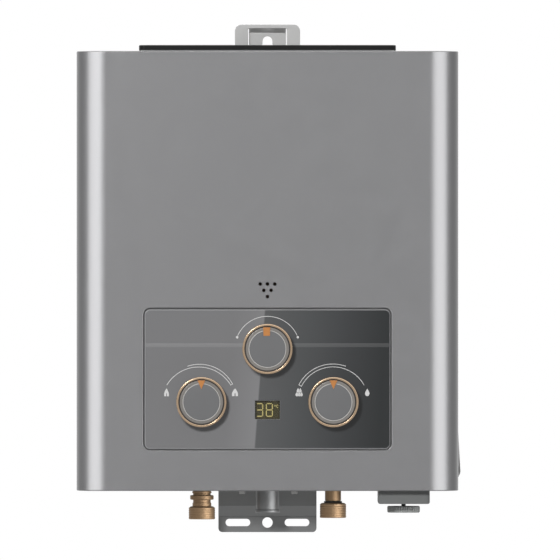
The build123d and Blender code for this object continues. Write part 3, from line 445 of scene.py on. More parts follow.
galvanised = finish(
    "galvanised sheet", (0.46, 0.46, 0.457), (0.60, 0.60, 0.59), metal=0.7, rough=0.45,
    spread=0.10, scale=900, relief=8e-6, width=0.0005, wear=0.5, vary=0.05,
)
HANGER_WIDTH, HANGER_HEIGHT = 0.0522, 0.0819
HANGER_MIDDLE = -0.02105
HANGER_ROUND, SLIT_ROUND = 0.0053, 0.0012
TONGUE_WIDTH = 0.0296
TONGUE_GAPS = 0.0014
bend_top, bend_low = 0.0166, -0.0220
flat_top, flat_low = 0.0133, -0.0187
hanger_line = rectangle(0, HANGER_MIDDLE, HANGER_WIDTH, HANGER_HEIGHT, HANGER_ROUND)
slit_middle, slit_height = (bend_top + bend_low) / 2, bend_top - bend_low
slit = rectangle(0, slit_middle, TONGUE_WIDTH + TONGUE_GAPS, slit_height, SLIT_ROUND)
hanger_plate = sheet(hanger_line, [slit], PLATE_BACK, PLATE_BACK + HANGER_SHEET)
KEYHOLE = 0.0057
NECK = 0.0039
NECK_TOP = 0.00655
shoulder = acos(NECK / KEYHOLE)
around = [pi - shoulder + k * (pi + 2 * shoulder) / 30 for k in range(31)]
over = [k * pi / 10 for k in range(11)]
keyhole = [(KEYHOLE * cos(t), KEYHOLE * sin(t)) for t in around]
keyhole += [(NECK * cos(t), NECK_TOP + NECK * sin(t)) for t in over]
tongue_line = rectangle(0, (flat_top + flat_low) / 2, TONGUE_WIDTH, flat_top - flat_low)
tongue = sheet(tongue_line, [keyhole], -HANGER_SHEET, 0)


def bend(top, low, y_top, y_low, width):
    """A slanting length of sheet between two flat ones."""
    line = [(y_low, low), (y_low + HANGER_SHEET, low), (y_top + HANGER_SHEET, top), (y_top, top)]
    return sheet(line, [], -width / 2, width / 2, lift=at_side, edge=0.0002)


hanger = joined(
    hanger_plate, tongue,
    bend(bend_top, flat_top, PLATE_BACK, -HANGER_SHEET, TONGUE_WIDTH),
    bend(flat_low, bend_low, -HANGER_SHEET, PLATE_BACK, TONGUE_WIDTH),
)
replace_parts(piece("hanger_plate", hanger, galvanised), "upper_hanger")

# Lower bracket: sheet in a darker grey than the hanger's, riveted to the back plate and joggled
# back to the wall below the casing, with two slots and a round hole for the wall screws.
# A copy of the hanger's sheet in a darker grey.
darker_bracket_sheet = finish(
    "darker bracket sheet", (0.205, 0.208, 0.208), (0.30, 0.30, 0.30), metal=0.5, rough=0.42,
    scale=700, relief=8e-6, width=0.0005, wear=0.3, vary=0.05, dust=0.05,
)
BRACKET_WIDTH = 0.0786
BRACKET_TOP = -0.3263
FOOT_ROUND = 0.0032
HOLE_RADIUS = 0.00415
SLOT_OFFSET = 0.02365
SLOT_LENGTH, SLOT_HEIGHT, SLOT_ROUND = 0.0197, 0.0058, 0.00289
joggle_top, joggle_low = -0.3655, -0.3737
foot_low = -0.3866
hole_height = -0.3789
half = BRACKET_WIDTH / 2
upper_height = BRACKET_TOP - joggle_top
upper_line = rectangle(0, (BRACKET_TOP + joggle_top) / 2, BRACKET_WIDTH, upper_height)
upper_part = sheet(upper_line, [], PLATE_BACK, PLATE_BACK + HANGER_SHEET)
foot_line = eased([
    (-half, foot_low, FOOT_ROUND), (half, foot_low, FOOT_ROUND), (half, joggle_low),
    (-half, joggle_low),
])
foot_holes = [circle(0, hole_height, HOLE_RADIUS)]
for x in (-SLOT_OFFSET, SLOT_OFFSET):
    foot_holes.append(rectangle(x, hole_height, SLOT_LENGTH, SLOT_HEIGHT, SLOT_ROUND, steps=10))
foot = sheet(foot_line, foot_holes, -HANGER_SHEET, 0)
joggle = bend(joggle_top, joggle_low, PLATE_BACK, -HANGER_SHEET, BRACKET_WIDTH)
bracket = piece("wall_bracket", joined(upper_part, foot, joggle), darker_bracket_sheet)
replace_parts(bracket, "lower_bracket")

# Rivets: zinc-plated steel, two through the hanger and two through the bracket into the back
# plate. Their heads are domed by the set.
RIVET_FACE = PLATE_BACK + HANGER_SHEET
HANGER_RIVETS, BRACKET_RIVETS = (0.019, -0.042), (0.030, -0.3333)


def turned(profile, centre, axis, steps=96, flutes=0, flute_depth=0.0):
    """A turned shape. Its closed profile lists (radius, distance along the axis) points."""
    along = Vector(axis).normalized()
    across = along.orthogonal().normalized()
    third = along.cross(across)
    loops = []
    for radius, far in profile:
        loop = []
        for t in turns(steps):
            cut = flute_depth * (0.5 - 0.5 * cos(flutes * t))
            arm = (across * cos(t) + third * sin(t)) * (radius - cut)
            loop.append(tuple(Vector(centre) + along * far + arm))
        loops.append(loop)
    return skin(loops, ring=True)


zinc = finish(
    "zinc plating", (0.50, 0.50, 0.49), (0.66, 0.65, 0.62), metal=0.9, rough=0.32, spread=0.1,
    scale=1500,
)
rivet_line = eased([
    (0, 0), (0.004, 0, 0.0002), (0.00395, 0.0006, 0.0004), (0.0026, 0.00145, 0.001), (0, 0.0016),
], steps=4)
rivets = []
for x, z in (HANGER_RIVETS, BRACKET_RIVETS):
    for side in (-1, 1):
        rivets.append(turned(rivet_line, (side * x, RIVET_FACE, z), (0, 1, 0), steps=32))
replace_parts(piece("rivet_heads", joined(*rivets), zinc), "bracket_rivets")

# Frame: back and bottom plates and the flue collar of galvanised sheet, folded at their edges and
# spot-welded into the box that carries everything. The bottom plate has the air slots.


def dress(material, *names):
    """Gives CAD nodes their finish."""
    for name in names:
        for place in frame["nodes"][name].material_slots:
            place.material = material


frame_sheet = finish(
    "frame sheet", (0.40, 0.41, 0.41), (0.60, 0.60, 0.58), metal=0.75, rough=0.42, spread=0.12,
    scale=260, relief=1.2e-5, width=0.0008, wear=0.5, vary=0.09, dust=0.3,
)
dress(frame_sheet, "back_plate", "bottom_plate", "outlet_collar")

# Front cover: one sheet pressed into a shell with wide front corners, narrow flanges above and
# below, a recess for the panel and a bulge in the right wall, in metallic grey stove paint.
COVER_HALF = 0.15185
COVER_FRONT = -0.118
COVER_REAR = -0.007
COVER_TOP = -0.0027
COVER_LOW = -0.3523
COVER_SHEET = 0.0008
COVER_FLANGE = 0.011
COVER_CORNER = 0.0240
COVER_FOLD = 0.0009
INNER_FOLD = 0.0004
CORNER_STEPS = 28

casing_paint = finish(
    "casing paint", (0.128, 0.128, 0.131), (0.33, 0.33, 0.33), metal=0.72, rough=0.36,
    spread=0.015, scale=2600, relief=4e-6, width=0.0005, wear=0.16, vary=0.009, dust=0.12,
    plain={"Coat Weight": 0.15, "Coat Roughness": 0.25},
)


def cover_path(depth):
    """The cover seen from above, from its left rear edge round the front to the right rear edge."""
    radius = COVER_CORNER - depth
    path = [(-COVER_HALF + depth, COVER_REAR)]
    for side, start in ((-1, pi), (1, 1.5 * pi)):
        for k in range(CORNER_STEPS + 1):
            t = start + 0.5 * pi * k / CORNER_STEPS
            x = side * (COVER_HALF - COVER_CORNER) + radius * cos(t)
            path.append((x, COVER_FRONT + COVER_CORNER + radius * sin(t)))
    return path + [(COVER_HALF - depth, COVER_REAR)]


inner_low, inner_top = COVER_LOW + COVER_SHEET, COVER_TOP - COVER_SHEET
section = eased([
    (COVER_FLANGE, COVER_TOP), (0, COVER_TOP, COVER_FOLD), (0, COVER_LOW, COVER_FOLD),
    (COVER_FLANGE, COVER_LOW), (COVER_FLANGE, inner_low), (COVER_SHEET, inner_low, INNER_FOLD),
    (COVER_SHEET, inner_top, INNER_FOLD), (COVER_FLANGE, inner_top),
])
rings = [at_height(cover_path(depth), z) for depth, z in section]
length = len(rings[0])
front_step, right_step = CORNER_STEPS + 1, 2 * CORNER_STEPS + 2
shell_faces = []
walls = []
for i, level in enumerate(section):
    after = (i + 1) % len(section)
    tall = abs(level[1] - section[after][1]) > 0.1
    if tall:
        walls.append((level, section[after]))
    for j in range(length - 1):
        if not (tall and j in (front_step, right_step)):
            a, b = i * length + j, after * length + j
            shell_faces.append((a, a + 1, b + 1, b))
cover = [([point for ring in rings for point in ring], shell_faces)]
cover += [cap([ring[0] for ring in rings]), cap([ring[-1] for ring in rings])]

PANEL_HEIGHT = -0.26345
PANEL_RECESS = 0.0036
PAN_WIDTH, PAN_HEIGHT = 0.1974, 0.1131
PAN_LEDGE = 0.014
PAN_LIP = 0.0006
PAN_ROUND = 0.0004
pan = rectangle(0, PANEL_HEIGHT, PAN_WIDTH, PAN_HEIGHT, 0.0055, steps=10)
seat = rectangle(0, PANEL_HEIGHT, PAN_WIDTH - PAN_LEDGE, PAN_HEIGHT - PAN_LEDGE, 0.0005, steps=10)
pan_back = inset(pan, -COVER_SHEET)
pan_loops = [
    (inset(pan, -PAN_LIP), 0), (inset(pan, -MIDWAY * PAN_LIP), MIDWAY * PAN_LIP), (pan, PAN_LIP),
    (pan, PANEL_RECESS - PAN_ROUND), (inset(pan, PAN_ROUND), PANEL_RECESS), (seat, PANEL_RECESS),
    (seat, PANEL_RECESS + COVER_SHEET), (pan_back, PANEL_RECESS + COVER_SHEET),
    (pan_back, COVER_SHEET),
]
cover.append(skin([at_depth(line, COVER_FRONT + depth) for line, depth in pan_loops]))

SIGHT_RADIUS = 0.00135
SIGHT_EDGE = 0.0002
SIGHT_PITCH, SIGHT_ROWS = 0.0058, 0.005
SIGHT_TOP = CASING_MIDDLE - 0.0104
sight_levels = [(SIGHT_EDGE, 0), (0, SIGHT_EDGE), (0, COVER_SHEET)]
sights = []
for row, many in enumerate((3, 2, 1)):
    for i in range(many):
        sights.append(((i - (many - 1) / 2) * SIGHT_PITCH, SIGHT_TOP - row * SIGHT_ROWS))
for x, z in sights:
    loops = [(circle(x, z, SIGHT_RADIUS + out, 24), depth) for out, depth in sight_levels]
    cover.append(skin([at_depth(loop, COVER_FRONT + depth) for loop, depth in loops]))

BULGE_LOW, BULGE_HIGH = -0.3423, -0.3017
BULGE_REAR, BULGE_FRONT = -0.040, -0.080
BULGE_OUT = 0.0020
BULGE_PEAK = 0.10
BULGE_EDGE = 0.09
BULGE_STEPS = 24


def bulge_point(u, v, x):
    """A point of the bulge, across it and up it from 0 to 1, over the wall at x."""
    rise = min(v / BULGE_PEAK, (1 - v) / (1 - BULGE_PEAK))
    slope = min(1, min(u, 1 - u) / BULGE_EDGE)
    y = BULGE_FRONT + u * (BULGE_REAR - BULGE_FRONT)
    z = BULGE_LOW + v * (BULGE_HIGH - BULGE_LOW)
    return x + BULGE_OUT * rise * slope * slope * (3 - 2 * slope), y, z


flat_half = COVER_HALF - COVER_CORNER
corner_y = COVER_FRONT + COVER_CORNER
steps = [k / BULGE_STEPS for k in range(BULGE_STEPS + 1)]
row = len(steps)
for (depth, z_one), (_, z_two) in walls:
    low, high = sorted((z_one, z_two))
    hole_out, pan_out = (SIGHT_EDGE, PAN_LIP) if depth == 0 else (0, COVER_SHEET)
    openings = [circle(x, z, SIGHT_RADIUS + hole_out, 24) for x, z in sights]
    front_face = [(-flat_half, low), (flat_half, low), (flat_half, high), (-flat_half, high)]
    front_face = flat(at_depth, COVER_FRONT + depth, front_face, *openings, inset(pan, -pan_out))
    x = COVER_HALF - depth
    grid = [[bulge_point(u, v, x) for u in steps] for v in steps]
    starts = [i * row + j for i in range(BULGE_STEPS) for j in range(BULGE_STEPS)]
    bulge_faces = [(k, k + 1, k + row + 1, k + row) for k in starts]
    bulge = ([point for line in grid for point in line], bulge_faces)
    rim = grid[0][:-1] + [line[-1] for line in grid[:-1]]
    rim += grid[-1][:0:-1] + [line[0] for line in grid[:0:-1]]
    side_face = [(corner_y, low), (COVER_REAR, low), (COVER_REAR, high), (corner_y, high)]
    cover += [front_face, bulge, cap(at_side(side_face, x), rim)]
cover_piece = piece("painted_cover", joined(*cover), casing_paint, crisp=24.0)
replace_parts(cover_piece, "front_cover")
for receivers in strip_receivers:
    receivers.link(cover_piece)
dress(casing_paint, "top_plate")

# Cover screws: two pan heads of dull zinc-plated steel with a cross recess. They go up through
# the cover's lower flange, just behind its front edge, into the bottom plate.
SCREW_OFFSET, SCREW_SHIFT = 0.0208, 0.0006
SCREW_DEPTH = -0.1125
SCREW_RADIUS = 0.0025
SCREW_FACE_RADIUS = 0.0019
SCREW_HEAD = 0.0024
CROSS_FLOOR = COVER_LOW - 0.0012
CROSS_REACH, CROSS_HALF = 0.0015, 0.0004
screw_levels = [
    (SCREW_RADIUS, 0), (SCREW_RADIUS, 0.0012), (0.0023, 0.0019), (SCREW_FACE_RADIUS, SCREW_HEAD),
]
cross_corners = [(CROSS_REACH, -CROSS_HALF), (CROSS_REACH, CROSS_HALF), (CROSS_HALF, CROSS_HALF)]
screws = []
for side in (-1, 1):
    x, y = side * SCREW_OFFSET + SCREW_SHIFT, SCREW_DEPTH
    cross = []
    for a, b in ((1, 0), (0, 1), (-1, 0), (0, -1)):
        for u, v in cross_corners:
            cross.append((x + u * a - v * b, y + u * b + v * a))
    loops = [at_height(circle(x, y, radius, 24), COVER_LOW - drop) for radius, drop in screw_levels]
    screw_face = COVER_LOW - SCREW_HEAD
    screws.append(skin(loops))
    screws.append(flat(at_height, screw_face, circle(x, y, SCREW_FACE_RADIUS, 24), cross))
    screws += [wall(cross, screw_face, CROSS_FLOOR), flat(at_height, CROSS_FLOOR, cross)]
    screws.append(cap(loops[0]))
dull_zinc = finish(
    "dull zinc", (0.20, 0.20, 0.196), (0.50, 0.49, 0.47), metal=0.8, rough=0.36, spread=0.1,
    scale=1500,
)
screw_heads = piece("pan_head_screws", joined(*screws), dull_zinc)
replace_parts(screw_heads, "cover_screws")

# Exhaust cap: a deep-drawn steel lid in black enamel, pushed over the flue collar, with two rows
# of slots through its top.
GRILLE_MIDDLE = -0.059
GRILLE_LOW = -0.0016
GRILLE_TOP = 0.00235
GRILLE_SHEET = 0.0012
GRILLE_WALL = 0.0014
GRILLE_ROUND = 0.0008
GRILLE_PITCH, GRILLE_ROWS = 0.0152, 0.031
GRILLE_EDGE = 0.0003
black_enamel = finish(
    "black enamel", (0.010, 0.010, 0.010), (0.04, 0.04, 0.04), rough=0.34, spread=0.06,
    scale=900, relief=1.2e-5, wear=0.1, plain={"Specular IOR Level": 0.15},
)
lid = rectangle(0, GRILLE_MIDDLE, 0.2046, 0.068, 0.005)
slots = []
for column in range(12):
    for side in (-1, 1):
        x, y = (column - 5.5) * GRILLE_PITCH, GRILLE_MIDDLE + side * GRILLE_ROWS / 2
        slots.append(rectangle(x, y, 0.006, 0.025, 0.0029))
lid_levels = [(GRILLE_WALL, GRILLE_LOW), (0.0, GRILLE_LOW)]
for a, b in ((0, 1), (0.15, 0.5), (0.5, 0.15), (1, 0)):
    lid_levels.append((a * GRILLE_ROUND, GRILLE_TOP - b * GRILLE_ROUND))
under_lid = GRILLE_TOP - GRILLE_SHEET
slot_levels = [(-GRILLE_EDGE, GRILLE_TOP), (0, GRILLE_TOP - GRILLE_EDGE), (0, under_lid)]
grille = [sides(lid, lid_levels, at_height)]
grille.append(wall(inset(lid, GRILLE_WALL), GRILLE_LOW, under_lid))
grille += [sides(line, slot_levels, at_height) for line in slots]
slot_edges = [inset(line, -GRILLE_EDGE) for line in slots]
grille.append(flat(at_height, GRILLE_TOP, inset(lid, GRILLE_ROUND), *slot_edges))
grille.append(flat(at_height, under_lid, inset(lid, GRILLE_WALL), *slots))
exhaust_cap = piece("exhaust_cap", joined(*grille), black_enamel)
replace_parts(exhaust_cap, "exhaust_grille")

# Inside: a copper exchanger over a steel burner with brass jets, under a galvanised hood, and the
# valves, electrodes and battery supply. The chamber's sheet is coloured near black.
copper = finish(
    "copper", (0.50, 0.23, 0.13), (0.78, 0.48, 0.34), metal=0.9, rough=0.34, spread=0.12,
    scale=220, vary=0.14, relief=2e-5, dust=0.2,
)
# A near-black copper for the chamber's sheet.
near_black_copper = finish(
    "near-black copper", (0.075, 0.045, 0.034), (0.30, 0.17, 0.11), metal=0.5, rough=0.6, spread=0.1,
    scale=220, vary=0.14, relief=2e-5, wear=0.2, dust=0.1,
)
burner_steel = finish(
    "burner steel", (0.42, 0.41, 0.40), (0.62, 0.60, 0.56), metal=0.9, rough=0.38, spread=0.12,
    scale=300, stretch=(1, 1, 6), vary=0.1, dust=0.2,
)
brass = finish(
    "brass", (0.58, 0.38, 0.19), (0.80, 0.60, 0.36), metal=0.9, rough=0.30, spread=0.1,
    scale=420, vary=0.08, relief=8e-6, dust=0.1,
)
rubber = finish(
    "rubber", (0.03, 0.03, 0.03), (0.05, 0.05, 0.05), rough=0.75, scale=900, relief=3e-5,
    wear=0.1,
)
ceramic = finish(
    "ceramic", (0.80, 0.77, 0.72), (0.70, 0.66, 0.60), rough=0.3, scale=500, vary=0.03,
)
die_cast = finish(
    "die-cast aluminium", (0.50, 0.50, 0.50), (0.66, 0.66, 0.66), metal=0.85, rough=0.5,
    spread=0.1, scale=1400, relief=4e-5, vary=0.06, dust=0.2,
)
black_plastic = finish(
    "black moulded plastic", (0.03, 0.03, 0.03), (0.06, 0.06, 0.06), rough=0.45, scale=1800,
    relief=2e-5, wear=0.2, dust=0.3,
)
circuit_board = finish(
    "circuit board", (0.02, 0.13, 0.05), (0.30, 0.27, 0.12), rough=0.35, scale=500,
    relief=2e-5, vary=0.2,
)
cell_wrap = finish(
    "cell wrap", (0.05, 0.07, 0.10), (0.4, 0.4, 0.4), metal=0.4, rough=0.28, scale=300,
    relief=6e-6, wear=0.5,
)
dress(near_black_copper, "combustion_chamber")
dress(copper, "exchanger_tubes", "fin_stack", "return_headers", "cold_feed_pipe")
dress(burner_steel, "burner_bars", "burner_frame", "overheat_thermostat", "solenoid_valve")
dress(burner_steel, "valve_push_rod", "battery_contacts", "inlet_filter")
dress(frame_sheet, "draft_hood", "chamber_struts")
dress(brass, "gas_jets", "water_valve_body", "water_valve_cover")
dress(die_cast, "gas_manifold", "gas_riser", "gas_valve_body")
dress(ceramic, "ignition_electrode", "flame_electrode")
dress(rubber, "diaphragm")
dress(black_plastic, "ignition_module", "microswitch", "panel_carrier", "display_module")
dress(circuit_board, "display_board")
dress(cell_wrap, "battery_cells")

# Control panel: a plate of smoked safety glass with rounded edges, glued into the cover's recess.
# A reflection is painted on it, lighter left of a slanting line and darker towards the right, with
# a painted highlight on its bevels. A raised line runs across it, painted lighter as a highlight.
GLASS_FRONT = -0.1184
GLASS_BACK = -0.1144
GLASS_HALF = 0.0975
GLASS_HEIGHT = 0.1107
LINE_HEIGHT = -0.2365
LINE_HALF = 0.0971
REFLECTION_EDGE_LEAN, REFLECTION_EDGE_PLACE, REFLECTION_EDGE_SOFT = 0.0747, 0.01366, 0.0006
# The colour of the painted highlight on the glass's bevels.
PAINTED_BEVEL_HIGHLIGHT = (0.36, 0.36, 0.37, 1)
# The painted reflection's tones: a light grey left of the slanting line, and right of it a grey
# that darkens towards the right edge.
PAINTED_REFLECTION_LEFT = [
    (0.0, (0.143, 0.143, 0.147)), (0.75, (0.143, 0.143, 0.147)), (1.0, (0.170, 0.170, 0.175)),
]
PAINTED_REFLECTION_RIGHT = [
    (0.0, (0.074, 0.076, 0.078)), (0.35, (0.051, 0.054, 0.056)), (0.7, (0.029, 0.031, 0.033)),
    (1.0, (0.013, 0.015, 0.016)),
]
knobs = {"season": (0.0, -0.2394), "flame": (-0.0524, -0.2816), "flow": (0.0524, -0.2816)}
WINDOW = (0.0, -0.2879)


def smoked(name, lift, rough):
    """Smoked glass with a painted reflection, lighter left of a slanting line, darker towards the
    right, and painted highlights at the bevels.
    """
    material, tree, shader = blank(name)
    where = axes(tree, "TexCoord", "Object")
    # Painted reflection: the colour is lighter left of a slanting line and darkens towards the
    # right.
    reflection_edge = calc(tree, "MULTIPLY_ADD", where["Z"], REFLECTION_EDGE_LEAN, REFLECTION_EDGE_PLACE)
    past_reflection_edge = calc(tree, "SUBTRACT", where["X"], reflection_edge)
    reflection_halves = []
    for start, stops in ((-GLASS_HALF, PAINTED_REFLECTION_LEFT), (0.0, PAINTED_REFLECTION_RIGHT)):
        stops = [(place, tuple(channel + lift for channel in tone)) for place, tone in stops]
        reflection_halves.append(ramp(tree, remap(tree, past_reflection_edge, start, start + GLASS_HALF), stops))
    body = between(tree, remap(tree, past_reflection_edge, -REFLECTION_EDGE_SOFT, REFLECTION_EDGE_SOFT), *reflection_halves)
    # Painted highlight: where the surface turns away from the front at the bevels, it is painted
    # light.
    facing = calc(tree, "ABSOLUTE", axes(tree, "NewGeometry", "Normal")["Y"])
    body = between(tree, ramp(tree, facing, [(0.75, 1.0), (0.96, 0.0)]), body, PAINTED_BEVEL_HIGHLIGHT)
    cloud = using(tree, grain, Scale=240)["Cloud"]
    laid = using(tree, settled, Amount=0.25)["Mask"]
    wave = put(tree, "Bump", {"Strength": 0.3, "Distance": 4e-6, "Height": cloud})
    connect(shader, {
        "Specular IOR Level": 0.45,
        "Base Color": between(tree, laid, body, DUST),
        "Roughness": remap(tree, cloud, 0.3, 0.7, rough, rough + 0.05),
        "Normal": wave.outputs[0],
    })
    return material


glass_with_painted_reflection = smoked("smoked glass with painted reflection", 0.0, 0.10)
GLASS_ROUND = 0.0008
SHAFT_HOLE = 0.0045
HOLE_EDGE = 0.0001
glass_deep = GLASS_BACK - GLASS_FRONT
glass_line = rectangle(0, PANEL_HEIGHT, 2 * GLASS_HALF, GLASS_HEIGHT, 0.0043, steps=10)
glass_levels = [
    (GLASS_ROUND, 0), (0.0004, 0.00011), (0.00011, 0.0004), (0, GLASS_ROUND), (0, glass_deep),
]
holes = [circle(x, z, SHAFT_HOLE) for x, z in knobs.values()]
holes.append(rectangle(*WINDOW, 0.0200, 0.0150, 0.0004))
hole_levels = [(-HOLE_EDGE, 0), (0, HOLE_EDGE), (0, glass_deep)]
glass = [sides(glass_line, glass_levels, start=GLASS_FRONT)]
glass += [sides(hole, hole_levels, start=GLASS_FRONT) for hole in holes]
hole_edges = [inset(hole, -HOLE_EDGE) for hole in holes]
glass.append(flat(at_depth, GLASS_FRONT, inset(glass_line, GLASS_ROUND), *hole_edges))
glass.append(flat(at_depth, GLASS_BACK, glass_line, *holes))
glass_plate = piece("glass_panel", joined(*glass), glass_with_painted_reflection, crisp=40.0)
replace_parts(glass_plate, "panel_glass")
rib = [
    (0.0001, -0.0015), (0, -0.0015), (-0.00018, -0.0008), (-0.00024, 0), (-0.00018, 0.0008),
    (0, 0.0015), (0.0001, 0.0015),
]
rib = [(GLASS_FRONT + y, LINE_HEIGHT + z) for y, z in rib]
rib_ends = [at_side(rib, -LINE_HALF), at_side(rib, LINE_HALF)]
raised_line = joined(skin(rib_ends), *[cap(end) for end in rib_ends])
# The raised line's glass is painted lighter than the panel: a painted highlight along the crease.
line_glass_with_painted_highlight = smoked("line glass with painted highlight", 0.034, 0.16)
piece("panel_line", raised_line, line_glass_with_painted_highlight, crisp=60.0)

# Display: a dark tinted lens set flush in the glass, and behind it the lit bars of two digits and
# a degree sign on their dark face.
LENS_BACK = -0.1172
lens_glass, tree, shader = blank("tinted lens")
texture = using(tree, grain, Scale=400)
tint = between(tree, texture["Cloud"], (0.52, 0.50, 0.42, 1), (0.60, 0.57, 0.48, 1))
dulled = calc(tree, "MULTIPLY", texture["Grain"], 0.06)
connect(shader, {"Transmission Weight": 1.0, "IOR": 1.3, "Base Color": tint, "Roughness": dulled})
lens_line = rectangle(*WINDOW, 0.01984, 0.01484, 0.0004)
lens = sheet(lens_line, [], GLASS_FRONT, LENS_BACK, edge=0.0001)
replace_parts(piece("display_lens", lens, lens_glass), "display_window")
lit_bars = finish(
    "lit bars", (0.80, 0.74, 0.36), (0.9, 0.85, 0.5), rough=0.4, scale=300, wear=0.0, dust=0.0,
)
tree = lit_bars.node_tree
glow = between(tree, noise(tree, 350.0), (0.95, 0.84, 0.34, 1), (1.0, 0.93, 0.46, 1))
connect(tree.nodes["Principled BSDF"], {"Emission Color": glow, "Emission Strength": 0.3})
DIGIT_HALF_WIDTH = 0.0024
DIGIT_HALF = 0.0050
BAR = 0.0008
BAR_GAP = 0.00025
BAR_FACE = -0.11708
BAR_BACK = -0.1169


def bar(a, b):
    """A lit bar between two (x, z) ends, pointed like a display segment."""
    start, end = Vector(a), Vector(b)
    run = (end - start).normalized() * BAR / 2
    side = Vector((-run.y, run.x))
    line = [start, start + run - side, end - run - side, end, end - run + side, start + run + side]
    return sheet([tuple(point) for point in line], [], BAR_FACE, BAR_BACK, edge=2e-5)


def digit(x, z, lit):
    """The bars of one digit round its centre, named a to g from the top round to the middle."""
    w, h = DIGIT_HALF_WIDTH, DIGIT_HALF
    ends = {
        "a": ((-w, h), (w, h)), "b": ((w, h), (w, 0)), "c": ((w, 0), (w, -h)),
        "d": ((-w, -h), (w, -h)), "e": ((-w, -h), (-w, 0)), "f": ((-w, 0), (-w, h)),
        "g": ((-w, 0), (w, 0)),
    }
    shapes = []
    for name in lit:
        (a, b), (c, d) = ends[name]
        run = Vector((c - a, d - b)).normalized() * BAR_GAP
        shapes.append(bar((x + a + run.x, z + b + run.y), (x + c - run.x, z + d - run.y)))
    return shapes


digits = digit(-0.0062, WINDOW[1], "abcdg") + digit(0.0015, WINDOW[1], "abcdefg")
sign_top = WINDOW[1] + 0.0034
degree = circle(0.0060, sign_top, 0.00065, 16)
digits.append(sheet(degree, [inset(degree, 0.0003)], BAR_FACE, BAR_BACK, edge=2e-5))
letter = [
    (0.0086, -0.0014), (0.0078, -0.0019), (0.0072, -0.0014), (0.0072, 0.0004), (0.0078, 0.0009),
    (0.0086, 0.0004), (0.0083, 0.0001), (0.0078, 0.0004), (0.0076, 0.0002), (0.0076, -0.0012),
    (0.0078, -0.0014), (0.0083, -0.0011),
]
letter = [(x, sign_top + z) for x, z in letter][::-1]
digits.append(sheet(letter, [], BAR_FACE, BAR_BACK, edge=1e-5))
piece("lit_digits", joined(*digits), lit_bars)
display_face = finish(
    "display face", (0.070, 0.070, 0.036), (0.1, 0.1, 0.05), rough=0.5, scale=400, wear=0.0,
    dust=0.0,
)
face_line = rectangle(*WINDOW, 0.0180, 0.0132, 0.0004)
face = sheet(face_line, [], BAR_BACK - 0.00002, BAR_BACK + 0.0002, edge=5e-5)
piece("display_face", face, display_face)

# Printed marks: pale ink screened on the glass. Over the upper knob an arc with a dot at each end,
# and over each lower knob a wedge of two arcs, between a small and a large flame on the left, and
# between a bunch of drops and a single one on the right.
INK = GLASS_FRONT - 0.00003
INK_WIDTH = 0.00048
ICON_HEIGHT = -0.2739
pale_ink = finish(
    "pale ink", (0.52, 0.52, 0.52), (0.6, 0.6, 0.6), rough=0.5, scale=500, relief=2e-6,
    wear=0.0,
)


def print_on(line):
    """A printed patch inside an anticlockwise (x, z) line."""
    return sheet(line, [], INK, GLASS_FRONT + 0.00005, edge=1e-5)


def arc(centre, radius, start, end, steps=48):
    """Points along an arc; its angles run clockwise from the top."""
    angles = [radians(start + (end - start) * k / steps) for k in range(steps + 1)]
    return [(centre[0] + radius * sin(t), centre[1] + radius * cos(t)) for t in angles]


def stroke(points):
    """A printed line along points."""
    runs = [(Vector(b) - Vector(a)).normalized() for a, b in zip(points, points[1:])]
    left, right = [], []
    for point, before, after in zip(points, runs[:1] + runs, runs + runs[-1:]):
        side = Vector((-before.y, before.x)) + Vector((-after.y, after.x))
        side *= INK_WIDTH / 2 / (1 + before.dot(after))
        left.append(tuple(Vector(point) + side))
        right.append(tuple(Vector(point) - side))
    return print_on(right + left[::-1])


def drop(x, z, width, height):
    """A printed drop, round below and pointed above."""
    line = []
    for t in turns(24):
        across = 0.595 * width * cos(t) * (1 - (0.5 + 0.5 * sin(t)) ** 2)
        line.append((x + across, z + 0.5 * height * sin(t)))
    return print_on(line)


def flame(x, z, width, height):
    """A printed flame, a pointed arch open below."""
    arch = [
        (-0.16, -1), (-0.14, -0.4), (0.02, -0.1), (0.16, -0.4), (0.2, -1), (0.95, -1),
        (0.98, -0.3), (0.7, 0.25), (0.1, 1), (-0.3, 0.75), (-0.75, 0.2), (-1, -0.35), (-0.95, -1),
    ]
    return print_on([(x + a * width / 2, z + b * height / 2) for a, b in arch])


marks = [stroke(arc(knobs["season"], 0.02585, -66, 66))]
for x, z in arc(knobs["season"], 0.0258, -69, 69, steps=1):
    marks.append(print_on(circle(x, z, 0.0010, 20)))
wedges = {
    "flame": [(-0.0015, 0.0003, 0.0297, -19, 62), (-0.0022, -0.0018, 0.0296, 59, -59)],
    "flow": [(-0.0004, -0.0001, 0.0303, 20, -63), (-0.0003, -0.0003, 0.0282, -63, 61)],
}
for name, arcs in wedges.items():
    line = []
    for x, z, radius, start, end in arcs:
        line += arc((knobs[name][0] + x, knobs[name][1] + z), radius, start, end)
    marks.append(stroke(line if name == "flame" else line[::-1]))
marks.append(flame(-0.0802, ICON_HEIGHT, 0.0038, 0.0063))
marks.append(flame(-0.0258, ICON_HEIGHT, 0.0049, 0.0061))
marks.append(drop(0.0793, ICON_HEIGHT, 0.0036, 0.0061))
bunch = ((-0.0009, 0.0016), (0.0009, 0.0016), (-0.0018, -0.0014), (0, -0.0014), (0.0018, -0.0014))
for aside, rise in bunch:
    marks.append(drop(0.0252 + aside, ICON_HEIGHT + rise, 0.0022, 0.0036))
piece("printed_marks", joined(*marks), pale_ink)

